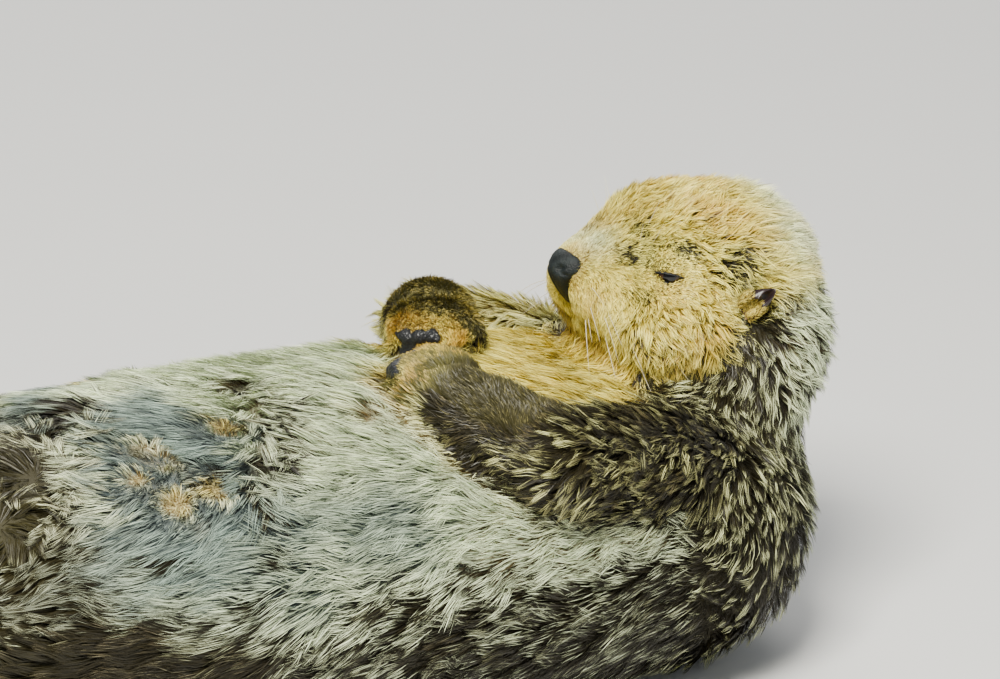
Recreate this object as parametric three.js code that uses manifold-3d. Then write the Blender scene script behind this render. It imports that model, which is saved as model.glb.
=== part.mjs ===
// A sea otter, life size, lying on its back as it does when it floats: the head is raised and looks along the
// body to the feet, the forepaws meet on the chest, the hind feet stand up and the tail lies flat.
// Millimetres. +X runs from the tail to the head, -Y is the animal's left side, +Z is up and the floor is Z = 0.
// Every solid reaches to the tips of the coat.
import * as THREE from "three";
import { mergeVertices } from "three/addons/utils/BufferGeometryUtils.js";
import Module from "manifold-3d";

const wasm = await Module();
wasm.setup();

// ---------------------------------------------------------------- driving dimensions
const GAP = 0.3; // between neighbouring pieces
const FLOOR = 0;

// The trunk is a run of cross-sections. Each station: place along the body, half width, height of the belly, and
// height of the back over the floor. A back that would hang under the floor is pressed flat against it.
const TRUNK = [
  { x: 20, half: 120, belly: 170, back: 6 },
  { x: -60, half: 139, belly: 186, back: -7 },
  { x: -170, half: 146, belly: 196, back: -9 },
  { x: -300, half: 147, belly: 201, back: -9 },
  { x: -455, half: 140, belly: 197, back: -9 },
  { x: -560, half: 123, belly: 181, back: -8 },
  { x: -640, half: 98, belly: 150, back: -7 },
  { x: -700, half: 68, belly: 110, back: -5 },
  { x: -745, half: 45, belly: 72, back: -4 },
  { x: -800, half: 37, belly: 50, back: -3 },
  { x: -900, half: 34, belly: 38, back: -2 },
  { x: -980, half: 27, belly: 27, back: -1 },
];
const TRUNK_SQUARENESS = 2.25; // 2 is an ellipse
const NECK_CUT = -60;
const WAIST_CUT = -320;
const HIP_CUT = -520;
const TAIL_CUT = -722;
const TAIL_TIP = -985;
const TAIL_ROUND = 34; // the length of the tail's rounded end

const HEAD = { x: -5, y: 0, z: 219, pitch: 17 }; // degrees: the nose is carried up by the pitch

// ---------------------------------------------------------------- small tools
const vec = (x, y, z) => new THREE.Vector3(x, y, z);
const sides = [
  { side: "left", sign: 1 },
  { side: "right", sign: -1 },
];

// A smooth value that runs through the stations' own values, as drawn with a flexible batten.
function along(stations, place, key, value) {
  const rising = [...stations].sort((a, b) => a[place] - b[place]);
  const last = rising.length - 1;
  const at = THREE.MathUtils.clamp(value, rising[0][place], rising[last][place]);
  let i = 0;
  while (i < last - 1 && at > rising[i + 1][place]) i++;
  const [a, b] = [rising[i], rising[i + 1]];
  const slope = (p, q) => (q[key] - p[key]) / (q[place] - p[place]);
  const here = slope(a, b);
  const before = i > 0 ? (slope(rising[i - 1], a) + here) / 2 : here;
  const after = i < last - 1 ? (here + slope(b, rising[i + 2])) / 2 : here;
  const width = b[place] - a[place];
  const t = (at - a[place]) / width;
  return (
    a[key] * (1 + 2 * t) * (1 - t) ** 2 +
    before * width * t * (1 - t) ** 2 +
    b[key] * t * t * (3 - 2 * t) +
    after * width * t * t * (t - 1)
  );
}

// The signed distance, near enough, to an ellipsoid: a lump of flesh with a centre, half sizes and a turn.
function lump(centre, radii, turn = [0, 0, 0]) {
  const inverse = new THREE.Matrix4()
    .compose(
      vec(...centre),
      new THREE.Quaternion().setFromEuler(new THREE.Euler(...turn.map(THREE.MathUtils.degToRad))),
      vec(1, 1, 1),
    )
    .invert();
  const [a, b, c] = radii;
  const q = vec(0, 0, 0);
  return (point) => {
    q.copy(point).applyMatrix4(inverse);
    const near = Math.hypot(q.x / a, q.y / b, q.z / c);
    const steep = Math.hypot(q.x / a ** 2, q.y / b ** 2, q.z / c ** 2);
    return near < 1e-6 ? -Math.min(a, b, c) : (near * (near - 1)) / steep;
  };
}

// The same lump on both sides of the middle plane.
const pair = ([x, y, z], radii, [rx, ry, rz] = [0, 0, 0]) => [
  lump([x, y, z], radii, [rx, ry, rz]),
  lump([x, -y, z], radii, [-rx, ry, -rz]),
];

// Lumps that flow into each other over about the distance `soft`.
function flesh(soft, ...lumps) {
  return (point) =>
    lumps.reduce((sum, field) => {
      const value = field(point);
      const h = Math.max(soft - Math.abs(sum - value), 0) / soft;
      return Math.min(sum, value) - (h * h * soft) / 4;
    }, 1e3);
}

// The closed skin of a field, found by looking outwards from a centre inside it.
function wrapped(field, centre, detail, grow = 0, reach = 200) {
  const ball = mergeVertices(bare(new THREE.IcosahedronGeometry(1, detail)), 1e-5);
  const place = ball.attributes.position;
  const [start, way] = [centre, vec(0, 0, 0)];
  for (let i = 0; i < place.count; i++) {
    way.fromBufferAttribute(place, i).normalize();
    const skin = start.clone().addScaledVector(way, depth(field, start, way, grow, reach));
    place.setXYZ(i, skin.x, skin.y, skin.z);
  }
  return ball;
}

// How far it is from a place inside a field to its skin.
function depth(field, start, way, grow = 0, reach = 200) {
  const here = vec(0, 0, 0);
  const inside = (distance) => field(here.copy(start).addScaledVector(way, distance)) < grow;
  const step = 4;
  let far = step;
  while (far < reach && inside(far)) far += step;
  let near = far - step;
  for (let n = 0; n < 18; n++) {
    const middle = (near + far) / 2;
    if (inside(middle)) near = middle;
    else far = middle;
  }
  return far;
}

// A closed tube of rings with a fan over each end. point(u, angle) gives a place on ring u, from 0 to 1.
function lofted(rings, segments, point) {
  const vertices = [];
  const faces = [];
  for (let i = 0; i <= rings; i++)
    for (let j = 0; j < segments; j++)
      vertices.push(...point(i / rings, (2 * Math.PI * j) / segments).toArray());
  for (let i = 0; i < rings; i++)
    for (let j = 0; j < segments; j++) {
      const [a, b] = [i * segments + j, i * segments + ((j + 1) % segments)];
      faces.push(a, b, a + segments, b, b + segments, a + segments);
    }
  for (const ring of [0, rings]) {
    const middle = vec(0, 0, 0);
    for (let j = 0; j < segments; j++)
      middle.add(vec(...vertices.slice(3 * (ring * segments + j), 3 * (ring * segments + j) + 3)));
    const hub = vertices.length / 3;
    vertices.push(...middle.divideScalar(segments).toArray());
    for (let j = 0; j < segments; j++) {
      const [a, b] = [ring * segments + j, ring * segments + ((j + 1) % segments)];
      faces.push(...(ring ? [a, b, hub] : [b, a, hub]));
    }
  }
  const geometry = new THREE.BufferGeometry();
  geometry.setAttribute("position", new THREE.Float32BufferAttribute(vertices, 3));
  return geometry.setIndex(faces);
}

// A closed round bar that tapers from radius ra at a to rb at b, with round ends. `flat` squeezes it along
// the direction nearest to +Z.
function tapered(a, b, ra, rb, flat = 1, grow = 0, segments = 12, rings = 7) {
  const [start, end] = [vec(...a), vec(...b)];
  const axis = end.clone().sub(start);
  const length = axis.length();
  axis.normalize();
  const across = vec(0, 0, 1).cross(axis).normalize();
  const up = axis.clone().cross(across);
  return lofted(rings, segments, (u, angle) => {
    const bow = -Math.cos(Math.PI * u); // -1 at a's tip, 1 at b's tip
    const share = THREE.MathUtils.smoothstep(u, 0.25, 0.75);
    const radius = THREE.MathUtils.lerp(ra, rb, share) + grow;
    const round = Math.max(Math.sqrt(Math.max(1 - Math.abs(bow) ** 3, 0)), 0.02);
    const place = THREE.MathUtils.lerp(0, length, share) + bow * radius * Math.abs(bow) ** 2;
    return start
      .clone()
      .addScaledVector(axis, place)
      .addScaledVector(across, radius * round * Math.cos(angle))
      .addScaledVector(up, radius * round * flat * Math.sin(angle));
  });
}

function bare(geometry) {
  for (const name of Object.keys(geometry.attributes)) if (name !== "position") geometry.deleteAttribute(name);
  return geometry;
}

function solid(geometry) {
  const merged = mergeVertices(bare(geometry.clone()), 1e-4);
  const made = new wasm.Manifold(
    new wasm.Mesh({
      numProp: 3,
      vertProperties: new Float32Array(merged.attributes.position.array),
      triVerts: new Uint32Array(merged.index.array),
    }),
  );
  if (made.volume() > 0) return made;
  const turned = merged.index.array;
  for (let i = 0; i < turned.length; i += 3) [turned[i + 1], turned[i + 2]] = [turned[i + 2], turned[i + 1]];
  return new wasm.Manifold(
    new wasm.Mesh({
      numProp: 3,
      vertProperties: new Float32Array(merged.attributes.position.array),
      triVerts: new Uint32Array(turned),
    }),
  );
}

function geometryOf(manifold) {
  const mesh = manifold.getMesh();
  const geometry = new THREE.BufferGeometry();
  geometry.setAttribute("position", new THREE.BufferAttribute(new Float32Array(mesh.vertProperties), 3));
  geometry.setIndex(new THREE.BufferAttribute(new Uint32Array(mesh.triVerts), 1));
  geometry.computeVertexNormals();
  return geometry;
}

// The first solid less each of the others.
const less = (first, ...others) => others.reduce((left, other) => left.subtract(other), first);

// The part of a solid that lies ahead of a place along the body.
function ahead(body, low) {
  return less(body, solid(new THREE.BoxGeometry(1200, 1200, 1200).translate(low - 600, 0, 0)));
}

// The solid without what hangs under the floor, so that it rests on a flat.
function pressedFlat(body) {
  return less(body, solid(new THREE.BoxGeometry(2400, 1200, 400).translate(0, 0, FLOOR - 200)));
}

// ---------------------------------------------------------------- coat colours
const coat = (colour, roughness = 0.85) => new THREE.MeshStandardMaterial({ color: colour, roughness, metalness: 0 });
const cream = coat(0xcfc08a);
const grizzled = coat(0x8d8a66);
const silver = coat(0x9fae9c);
const brown = coat(0x4a3c2c);
const umber = coat(0x6f6848);
const blackSkin = coat(0x20262a, 0.45);
const eyeGloss = coat(0x0b0908, 0.08);
const horn = coat(0x2c2620, 0.4);

const otter = new THREE.Group();
function place(name, body, material, frame = otter) {
  const mesh = new THREE.Mesh(geometryOf(body.simplify(GAP / 3)), material);
  mesh.name = name;
  frame.add(mesh);
  return mesh;
}

// ---------------------------------------------------------------- head
// Built in its own frame: +X out of the nose, +Y to the animal's left, +Z out of the crown.
const headFrame = new THREE.Group();
headFrame.rotation.set(0, THREE.MathUtils.degToRad(-HEAD.pitch), Math.PI, "ZYX");
headFrame.position.set(HEAD.x, HEAD.y, HEAD.z);
headFrame.updateMatrix();
otter.add(headFrame);

const skull = flesh(
  15,
  lump([-20, 0, 9], [57, 66, 51]), // braincase
  lump([18, 0, 14], [48, 43, 39]), // forehead
  ...pair([12, 35, -22], [52, 37, 34]), // jowls
  lump([50, 0, -1], [36, 27, 21], [0, 12, 0]), // bridge of the muzzle
  ...pair([48, 19, -15], [29, 20, 20]), // whisker pads
  lump([34, 0, -33], [30, 24, 14]), // chin
);
const headCentre = vec(12, 0, -4);
const headShape = (grow, detail = 7) => solid(wrapped(skull, headCentre, detail, grow));

const NOSE = { x: 78, z: -5 };
const nosePad = flesh(
  5,
  ...pair([NOSE.x - 3, 6.5, NOSE.z + 3], [9, 7, 6.5]), // wings over the nostrils
  lump([NOSE.x, 0, NOSE.z], [10, 9.5, 9]), // tip
  lump([NOSE.x - 4, 0, NOSE.z - 11], [9.5, 7.5, 12], [0, 22, 0]), // foot of the pad, over the lip
);
const noseShape = (grow) => solid(wrapped(nosePad, vec(NOSE.x - 3, 0, NOSE.z - 3), 3, grow, 40));

// The eyeball lies deep in the face, and only its cap is clear of the coat.
const EYE = { x: 36, z: 8, radius: 9, sunk: 7.6 };
const eyeSide = depth(skull, vec(EYE.x, 0, EYE.z), vec(0, 1, 0)) - EYE.sunk;
const eyeShape = (sign, grow) =>
  solid(bare(new THREE.SphereGeometry(EYE.radius + grow, 10, 6)).translate(EYE.x, sign * eyeSide, EYE.z));

// An ear is a short cupped leaf, rooted on the side of the head, that points back, up and out.
const EAR = { x: -8, y: 61, z: 3, length: 25, half: 9, thick: 6, out: 42, up: 36 };
function earShape(sign, grow) {
  const leaf = lofted(5, 8, (u, angle) => {
    const half = EAR.half * Math.sin(Math.PI * (0.22 + 0.76 * u)) ** 0.6 + grow;
    const thick = (EAR.thick / 2) * (1.15 - 0.5 * u) + grow;
    const across = half * Math.cos(angle);
    const cup = (across * across) / 20;
    return vec(-EAR.length * u + (u < 0.5 ? grow : -grow), thick * Math.sin(angle) + cup, across);
  });
  leaf.rotateY(THREE.MathUtils.degToRad(EAR.up));
  leaf.rotateZ(THREE.MathUtils.degToRad(-EAR.out));
  leaf.translate(EAR.x, EAR.y, EAR.z);
  if (sign < 0) leaf.scale(1, -1, 1);
  return solid(leaf);
}

let head = less(headShape(0), noseShape(GAP));
for (const { side, sign } of sides) {
  head = less(head, eyeShape(sign, GAP), earShape(sign, GAP));
  place("eye_" + side, eyeShape(sign, 0), eyeGloss, headFrame);
  place("ear_" + side, earShape(sign, 0), brown, headFrame);
}
place("nose", noseShape(0), blackSkin, headFrame);
place("head", head, cream, headFrame);

const inBody = (body) => body.transform(headFrame.matrix.toArray());
const headRoom = inBody(headShape(GAP + 1.5, 4)); // plainer than the head, and just clear of it
const headParts = [headRoom, inBody(earShape(1, GAP)), inBody(earShape(-1, GAP))];

// ---------------------------------------------------------------- trunk and neck
const SEGMENTS = 30; // round the trunk
const station = (x) => {
  const [half, belly, back] = ["half", "belly", "back"].map((key) => along(TRUNK, "x", key, x));
  const closing = THREE.MathUtils.clamp(1 - (x - TAIL_TIP) / TAIL_ROUND, 0, 1);
  const round = Math.max(Math.sqrt(1 - closing ** 2), 0.1);
  return { half: half * round, high: ((belly - back) / 2) * round, middle: (belly + back) / 2 };
};

function trunkLength({ low, high, rings, segments = SEGMENTS }, grow = 0) {
  const rounded = (value) => Math.sign(value) * Math.abs(value) ** (2 / TRUNK_SQUARENESS);
  return solid(
    lofted(rings, segments, (u, angle) => {
      const x = THREE.MathUtils.lerp(low, high, low === TAIL_TIP ? u ** 1.5 : u);
      const here = station(x);
      return vec(
        x,
        (here.half + grow) * rounded(Math.cos(angle)),
        here.middle + (here.high + grow) * rounded(Math.sin(angle)),
      );
    }),
  );
}

// Forward of the chest the trunk rounds off into the shoulders, and the nape rises out of them.
const SHOULDERS = { forward: 118, squareness: 2.25 };
function shouldersField({ x, y, z }) {
  const { half, high, middle } = station(NECK_CUT);
  const n = SHOULDERS.squareness;
  const across = [(x - NECK_CUT) / SHOULDERS.forward, y / half, (z - middle) / high];
  return (across.reduce((sum, share) => sum + Math.abs(share) ** n, 0) ** (1 / n) - 1) * high;
}
const neckField = flesh(30, shouldersField, lump([20, 0, 188], [62, 83, 66]));
const neckShape = (grow) => ahead(solid(wrapped(neckField, vec(-4, 0, 118), 6, grow, 190)), NECK_CUT + GAP);
const lengths = {
  chest: { low: WAIST_CUT + GAP, high: NECK_CUT, rings: 5 },
  belly: { low: HIP_CUT + GAP, high: WAIST_CUT, rings: 3 },
  hips: { low: TAIL_CUT + GAP, high: HIP_CUT, rings: 5 },
  tail: { low: TAIL_TIP, high: TAIL_CUT, rings: 9, segments: 20 },
};
const wholeTrunk = Object.values(lengths).map((length) => trunkLength(length, GAP));

place("neck", pressedFlat(less(neckShape(0), ...headParts)), grizzled);
place("chest", pressedFlat(less(trunkLength(lengths.chest), ...headParts)), cream);
place("belly", pressedFlat(trunkLength(lengths.belly)), silver);
place("hips", pressedFlat(trunkLength(lengths.hips)), brown);
place("tail", pressedFlat(trunkLength(lengths.tail)), brown);

// ---------------------------------------------------------------- forelimbs
// The two arms lie a little differently: the right forepaw is nearer to the chin.
const ARMS = {
  left: { shoulder: [-44, -84, 132], elbow: [-142, -121, 165], wrist: [-185, -60, 187], tip: [-183, -6, 200] },
  right: { shoulder: [-42, 84, 132], elbow: [-106, 122, 160], wrist: [-142, 60, 195], tip: [-160, 6, 201] },
};
const RADIUS = { shoulder: 42, elbow: 36, wrist: 32 };

const upperArm = ({ shoulder, elbow }, grow) =>
  solid(tapered(shoulder, elbow, RADIUS.shoulder, RADIUS.elbow, 1, grow));
const forearm = ({ elbow, wrist }, grow) =>
  solid(tapered(elbow, wrist, RADIUS.elbow - 3, RADIUS.wrist, 0.95, grow));

// A forepaw is a mitten: a thick palm with five short, close digits. Its own frame: +X to the fingertips,
// +Z out of its back.
const PAW = { length: 58, half: 29, thick: 19, digits: 5 };
function pawShape({ wrist, tip }, grow) {
  const digits = Array.from({ length: PAW.digits }, (_, n) => {
    const spread = n - (PAW.digits - 1) / 2;
    return lump([PAW.length - 13 - 1.7 * spread ** 2, spread * 10.6, -1], [14, 7, 10], [0, 0, spread * 4]);
  });
  const field = flesh(8, lump([22, 0, 0], [34, PAW.half, PAW.thick]), ...digits);
  const body = wrapped(field, vec(26, 0, 0), 4, grow, 80);
  const ahead = vec(...tip).sub(vec(...wrist)).normalize();
  const across = vec(0, 0, 1).cross(ahead).normalize();
  const frame = new THREE.Matrix4().makeBasis(ahead, across, ahead.clone().cross(across));
  return solid(body.applyMatrix4(frame.setPosition(...wrist)));
}

for (const { side } of sides) {
  const arm = ARMS[side];
  const clear = [...wholeTrunk, neckShape(GAP), ...headParts];
  const rival = side === "left" ? pawShape(ARMS.right, GAP) : pawShape(ARMS.left, GAP);
  const fore = less(forearm(arm, 0), upperArm(arm, GAP), pawShape(arm, GAP), rival, ...clear);
  const paw = less(pawShape(arm, 0), ...(side === "left" ? [rival] : []), ...clear);
  place("upper_arm_" + side, largest(less(upperArm(arm, 0), ...clear)), grizzled);
  place("forearm_" + side, largest(fore), umber);
  place("forepaw_" + side, largest(paw), umber);
}

// The biggest of the pieces that a cut has left.
function largest(body) {
  return body.decompose().sort((a, b) => b.volume() - a.volume())[0];
}

// ---------------------------------------------------------------- hind limbs
const LEG = { hip: [-570, 74, 92], knee: [-650, 106, 98], heel: [-728, 92, 84] };
const onSide = ([x, y, z], sign) => [x, -sign * y, z];
const FOOT = { length: 200, half: 54, thick: 13, lean: 62, splay: 14, toes: 5 };

const thigh = (sign, grow) => solid(tapered(onSide(LEG.hip, sign), onSide(LEG.knee, sign), 60, 50, 1, grow));
const shank = (sign, grow) => solid(tapered(onSide(LEG.knee, sign), onSide(LEG.heel, sign), 45, 29, 1, grow));

// A hind foot is a webbed fan of five toes, longest on the outside. Its own frame: +X along the foot,
// +Y outwards, +Z out of the top of the foot.
const toeReach = (across) => 0.87 + 0.13 * across; // share of the foot's length, from inner -1 to outer 1
const instepRise = (u) => 24 * u * u;
function footPoint(u, angle) {
  const turn = angle / Math.PI;
  const across = turn < 1 ? 1 - 2 * turn : 2 * turn - 3;
  const face = turn < 1 ? 1 : -1;
  const rim = Math.sqrt(1 - Math.abs(across) ** 6);
  const half = THREE.MathUtils.lerp(26, FOOT.half, THREE.MathUtils.smoothstep(u, 0.02, 0.85));
  const toe = Math.cos((Math.PI * FOOT.toes * across) / 2) ** 2; // 1 along each toe, 0 along the webs
  const ridge = THREE.MathUtils.lerp(1, 0.55 + 0.45 * toe, Math.min(1, 1.6 * u));
  const tip = Math.sqrt(1 - u ** 8 * 0.9);
  const root = THREE.MathUtils.lerp(24, FOOT.thick / 2, THREE.MathUtils.smoothstep(u, 0, 0.45));
  const web = (1 - toe) * 9 * u ** 5;
  const x = FOOT.length * u * THREE.MathUtils.lerp(1, toeReach(across), u) - web;
  return vec(x, across * half, face * root * ridge * tip * rim + instepRise(u));
}

// From a foot's own frame to its place on the body.
function onLeg(geometry, sign) {
  geometry.scale(1, -sign, 1);
  geometry.rotateY(THREE.MathUtils.degToRad(-(180 - FOOT.lean)));
  geometry.rotateZ(THREE.MathUtils.degToRad(sign * FOOT.splay));
  geometry.translate(...onSide(LEG.heel, sign));
  return solid(geometry);
}
const foot = (sign) => onLeg(lofted(7, 4 * FOOT.toes, footPoint), sign);

// A short blunt claw stands on the tip of each toe.
const CLAW = { length: 7.5, root: 2.6, tip: 0.9 };
function claw(toe, sign) {
  const across = ((toe - 3) * 2) / FOOT.toes;
  const reach = FOOT.length * toeReach(across) + GAP;
  const cone = lofted(2, 6, (u, angle) => {
    const radius = THREE.MathUtils.lerp(CLAW.root, CLAW.tip, u ** 1.5);
    return vec(reach + CLAW.length * u, radius * Math.cos(angle), radius * Math.sin(angle));
  });
  return onLeg(cone.translate(0, across * FOOT.half, instepRise(1)), sign);
}

for (const { side, sign } of sides) {
  place("thigh_" + side, largest(less(thigh(sign, 0), ...wholeTrunk)), brown);
  place("shank_" + side, pressedFlat(less(shank(sign, 0), thigh(sign, GAP), ...wholeTrunk)), brown);
  place("hind_foot_" + side, less(foot(sign), shank(sign, GAP), thigh(sign, GAP), ...wholeTrunk), brown);
  for (let toe = 1; toe <= FOOT.toes; toe++)
    place("claw_" + side + "_" + toe, claw(toe, sign), horn);
}

// The model's box is centred over the origin, and its back is on the floor.
const box = new THREE.Box3().setFromObject(otter);
otter.position.set(-(box.min.x + box.max.x) / 2, -(box.min.y + box.max.y) / 2, -box.min.z);

export default otter;
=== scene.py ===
"""A sea otter at rest on its back: one skin over the whole body, the face's folds and lids, ears, eyes, nose,
claws and whiskers, and the coat as several hundred thousand fine hairs drawn together in locks.

Metres, in the model's frame: +X from the tail to the head, -Y the animal's left side, +Z up.
"""

import math

import bmesh
import bpy
import numpy as np
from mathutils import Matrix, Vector, kdtree
from mathutils.bvhtree import BVHTree


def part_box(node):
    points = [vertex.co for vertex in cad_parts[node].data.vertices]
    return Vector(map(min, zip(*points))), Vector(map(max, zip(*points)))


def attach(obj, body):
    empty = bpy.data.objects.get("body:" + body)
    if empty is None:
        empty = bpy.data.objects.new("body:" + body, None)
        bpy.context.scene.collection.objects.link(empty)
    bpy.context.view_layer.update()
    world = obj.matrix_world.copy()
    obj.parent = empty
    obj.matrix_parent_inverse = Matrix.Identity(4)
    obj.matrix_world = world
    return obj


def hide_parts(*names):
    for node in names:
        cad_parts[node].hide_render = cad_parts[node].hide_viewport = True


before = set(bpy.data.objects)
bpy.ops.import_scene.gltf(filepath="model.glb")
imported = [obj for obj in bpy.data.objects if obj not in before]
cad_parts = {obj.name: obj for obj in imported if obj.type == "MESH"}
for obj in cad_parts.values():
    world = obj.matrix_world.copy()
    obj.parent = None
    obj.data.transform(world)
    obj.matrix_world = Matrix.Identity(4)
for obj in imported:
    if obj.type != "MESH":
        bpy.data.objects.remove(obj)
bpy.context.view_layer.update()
MM = 0.001

# ---------------------------------------------------------------- driving values
SKIN_CELL = 2.8 * MM  # size of the skin's faces
HEAD_PITCH = math.radians(17)  # how far the nose is carried up
EYE_IN_HEAD = np.array([36.0, 0, 8]) * MM  # from the head's centre to between the eyes, in the head's axes

CAMERA_TURN = math.radians(-27)
CAMERA_RISE = math.radians(20)
CAMERA_AWAY = 3.6
CAMERA_LENS = 220
CAMERA_AIM = np.array([-58.4, 58.8, -62.6]) * MM  # what the camera looks at, from between the eyes

SIDES = {"left": -1, "right": 1}  # the sign of Y


# ---------------------------------------------------------------- arithmetic on arrays of points
def unit(vectors):
    return vectors / np.maximum(np.linalg.norm(vectors, axis=-1, keepdims=True), 1e-12)


def dot(a, b):
    return np.sum(a * b, axis=-1)


def apart(places, centre):
    return np.linalg.norm(places - centre, axis=1)


def ease(low, high, value):
    """0 below low, 1 above high and smooth between them. It also falls, where low is above high."""
    t = np.clip((value - low) / (high - low), 0, 1)
    return t * t * (3 - 2 * t)


def bump(distance, width):
    return np.exp(-((distance / width) ** 2))


def blend(a, b, share):
    return a + (b - a) * share


def waves(points, size, seed, count=14):
    """A smooth random field of about -1 to 1, whose hills are about size apart."""
    luck = np.random.default_rng(seed)
    total = np.zeros(len(points))
    for _ in range(count):
        way = unit(luck.normal(size=3)) * 2 * math.pi / size * luck.uniform(0.5, 1.4)
        total += np.sin(points @ way + luck.uniform(0, 2 * math.pi))
    return total / math.sqrt(count)


def turned(vectors, axes, angle):
    """Unit vectors turned about axes at right angles to them."""
    return vectors * np.cos(angle)[:, None] + np.cross(axes, vectors) * np.sin(angle)[:, None]


# ---------------------------------------------------------------- places on the body, from the frame
def middle(node):
    low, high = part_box(node)
    return (np.array(low) + np.array(high)) / 2


FORWARD = np.array([-math.cos(HEAD_PITCH), 0, math.sin(HEAD_PITCH)])
LEFTWARD = np.array([0.0, -1, 0])
CROWNWARD = np.array([math.sin(HEAD_PITCH), 0, math.cos(HEAD_PITCH)])
HEAD_AXES = np.array([FORWARD, LEFTWARD, CROWNWARD])
EYE_CENTRE = {side: middle("eye_" + side) for side in SIDES}
EYE_RADIUS = float(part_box("eye_left")[1].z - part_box("eye_left")[0].z) / 2
BETWEEN_EYES = (EYE_CENTRE["left"] + EYE_CENTRE["right"]) / 2
HEAD_CENTRE = BETWEEN_EYES - EYE_IN_HEAD @ HEAD_AXES
BODY_START = HEAD_CENTRE[0] + 5 * MM  # where the trunk's own stations count from


def in_head(points):
    """Places in the head's own axes, in millimetres: out of the nose, to the left and out of the crown."""
    return (points - HEAD_CENTRE) @ HEAD_AXES.T / MM


def from_head(places):
    return np.asarray(places, float) * MM @ HEAD_AXES + HEAD_CENTRE


def in_body(points):
    """Places counted from where the trunk starts, in millimetres."""
    return (points - [BODY_START, 0, 0]) / MM


# ---------------------------------------------------------------- meshes and arrays
def in_scene(name, mesh):
    piece = bpy.data.objects.new(name, mesh)
    bpy.context.scene.collection.objects.link(piece)
    return piece


def new_object(name, vertices, faces):
    mesh = bpy.data.meshes.new(name)
    mesh.from_pydata(np.asarray(vertices).tolist(), [], [list(map(int, face)) for face in faces])
    mesh.update()
    return in_scene(name, mesh)


def array_of(items, key, width, kind=np.float32):
    """One property of every vertex, edge or triangle, a row to each."""
    flat = np.empty(len(items) * width, kind)
    items.foreach_get(key, flat)
    return flat.reshape(-1, width)


def places_of(mesh):
    return array_of(mesh.vertices, "co", 3).astype(float)


def set_places(mesh, places):
    mesh.vertices.foreach_set("co", np.asarray(places, np.float32).ravel())
    mesh.update()


def normals_of(mesh):
    return unit(array_of(mesh.vertices, "normal", 3).astype(float))


def triangles_of(mesh):
    mesh.calc_loop_triangles()
    return array_of(mesh.loop_triangles, "vertices", 3, np.int32)


def edges_of(mesh):
    return array_of(mesh.edges, "vertices", 2, np.int32)


def spread(values, edges, rounds, share=0.5):
    """Values at vertices, each drawn towards the mean of its neighbours, round after round."""
    values = np.array(values, float)
    counts = np.bincount(edges.ravel(), minlength=len(values)).astype(float)
    wide = values.ndim > 1
    for _ in range(rounds):
        columns = values.T if wide else values[None]
        near = [
            np.bincount(edges[:, 0], column[edges[:, 1]], len(values))
            + np.bincount(edges[:, 1], column[edges[:, 0]], len(values))
            for column in columns
        ]
        mean = np.array(near) / np.maximum(counts, 1)
        values = blend(values, mean.T if wide else mean[0], share)
    return values


def remeshed(name, nodes, cell):
    """One closed mesh around copies of CAD nodes."""
    whole = bmesh.new()
    for node in nodes:
        whole.from_mesh(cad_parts[node].data)
    mesh = bpy.data.meshes.new(name)
    whole.to_mesh(mesh)
    whole.free()
    piece = in_scene(name, mesh)
    remesh = piece.modifiers.new("one skin", "REMESH")
    remesh.mode = "VOXEL"
    remesh.voxel_size = cell
    graph = bpy.context.evaluated_depsgraph_get()
    mesh = bpy.data.meshes.new_from_object(piece.evaluated_get(graph))
    piece.modifiers.clear()
    piece.data = mesh
    return piece


def smooth_shaded(piece):
    piece.data.polygons.foreach_set("use_smooth", [True] * len(piece.data.polygons))


def finer(mesh, wanted):
    """Halves the edges of the faces whose middle is wanted."""
    work = bmesh.new()
    work.from_mesh(mesh)
    centres = np.array([face.calc_center_median() for face in work.faces])
    chosen = {edge for face, yes in zip(work.faces, wanted(centres)) if yes for edge in face.edges}
    bmesh.ops.subdivide_edges(work, edges=list(chosen), cuts=1, use_grid_fill=True)
    bmesh.ops.triangulate(work, faces=[face for face in work.faces if len(face.verts) > 4])
    work.to_mesh(mesh)
    work.free()


def set_marks(mesh, name, values):
    """A colour-like attribute of four numbers at each vertex."""
    attribute = mesh.attributes.new(name, "FLOAT_COLOR", "POINT")
    attribute.data.foreach_set("color", np.asarray(values, np.float32).ravel())


# ---------------------------------------------------------------- shader expressions
class Amount:
    """A number or a colour on its way through a finish. Arithmetic on it adds the Math nodes it needs."""

    def __init__(self, finish, socket):
        self.finish = finish
        self.socket = socket

    def math(self, operation, *values):
        return self.finish.node("ShaderNodeMath", {"operation": operation}, dict(enumerate(values)))

    def __add__(self, other):
        return self.math("ADD", self, other)

    __radd__ = __add__

    def __sub__(self, other):
        return self.math("SUBTRACT", self, other)

    def __rsub__(self, other):
        return self.math("SUBTRACT", other, self)

    def __mul__(self, other):
        return self.math("MULTIPLY", self, other)

    __rmul__ = __mul__

    def eased(self, low, high):
        settings = {"interpolation_type": "SMOOTHSTEP"}
        ends = {"From Min": low, "From Max": high}
        return self.finish.node("ShaderNodeMapRange", settings, {"Value": self, **ends})


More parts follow.
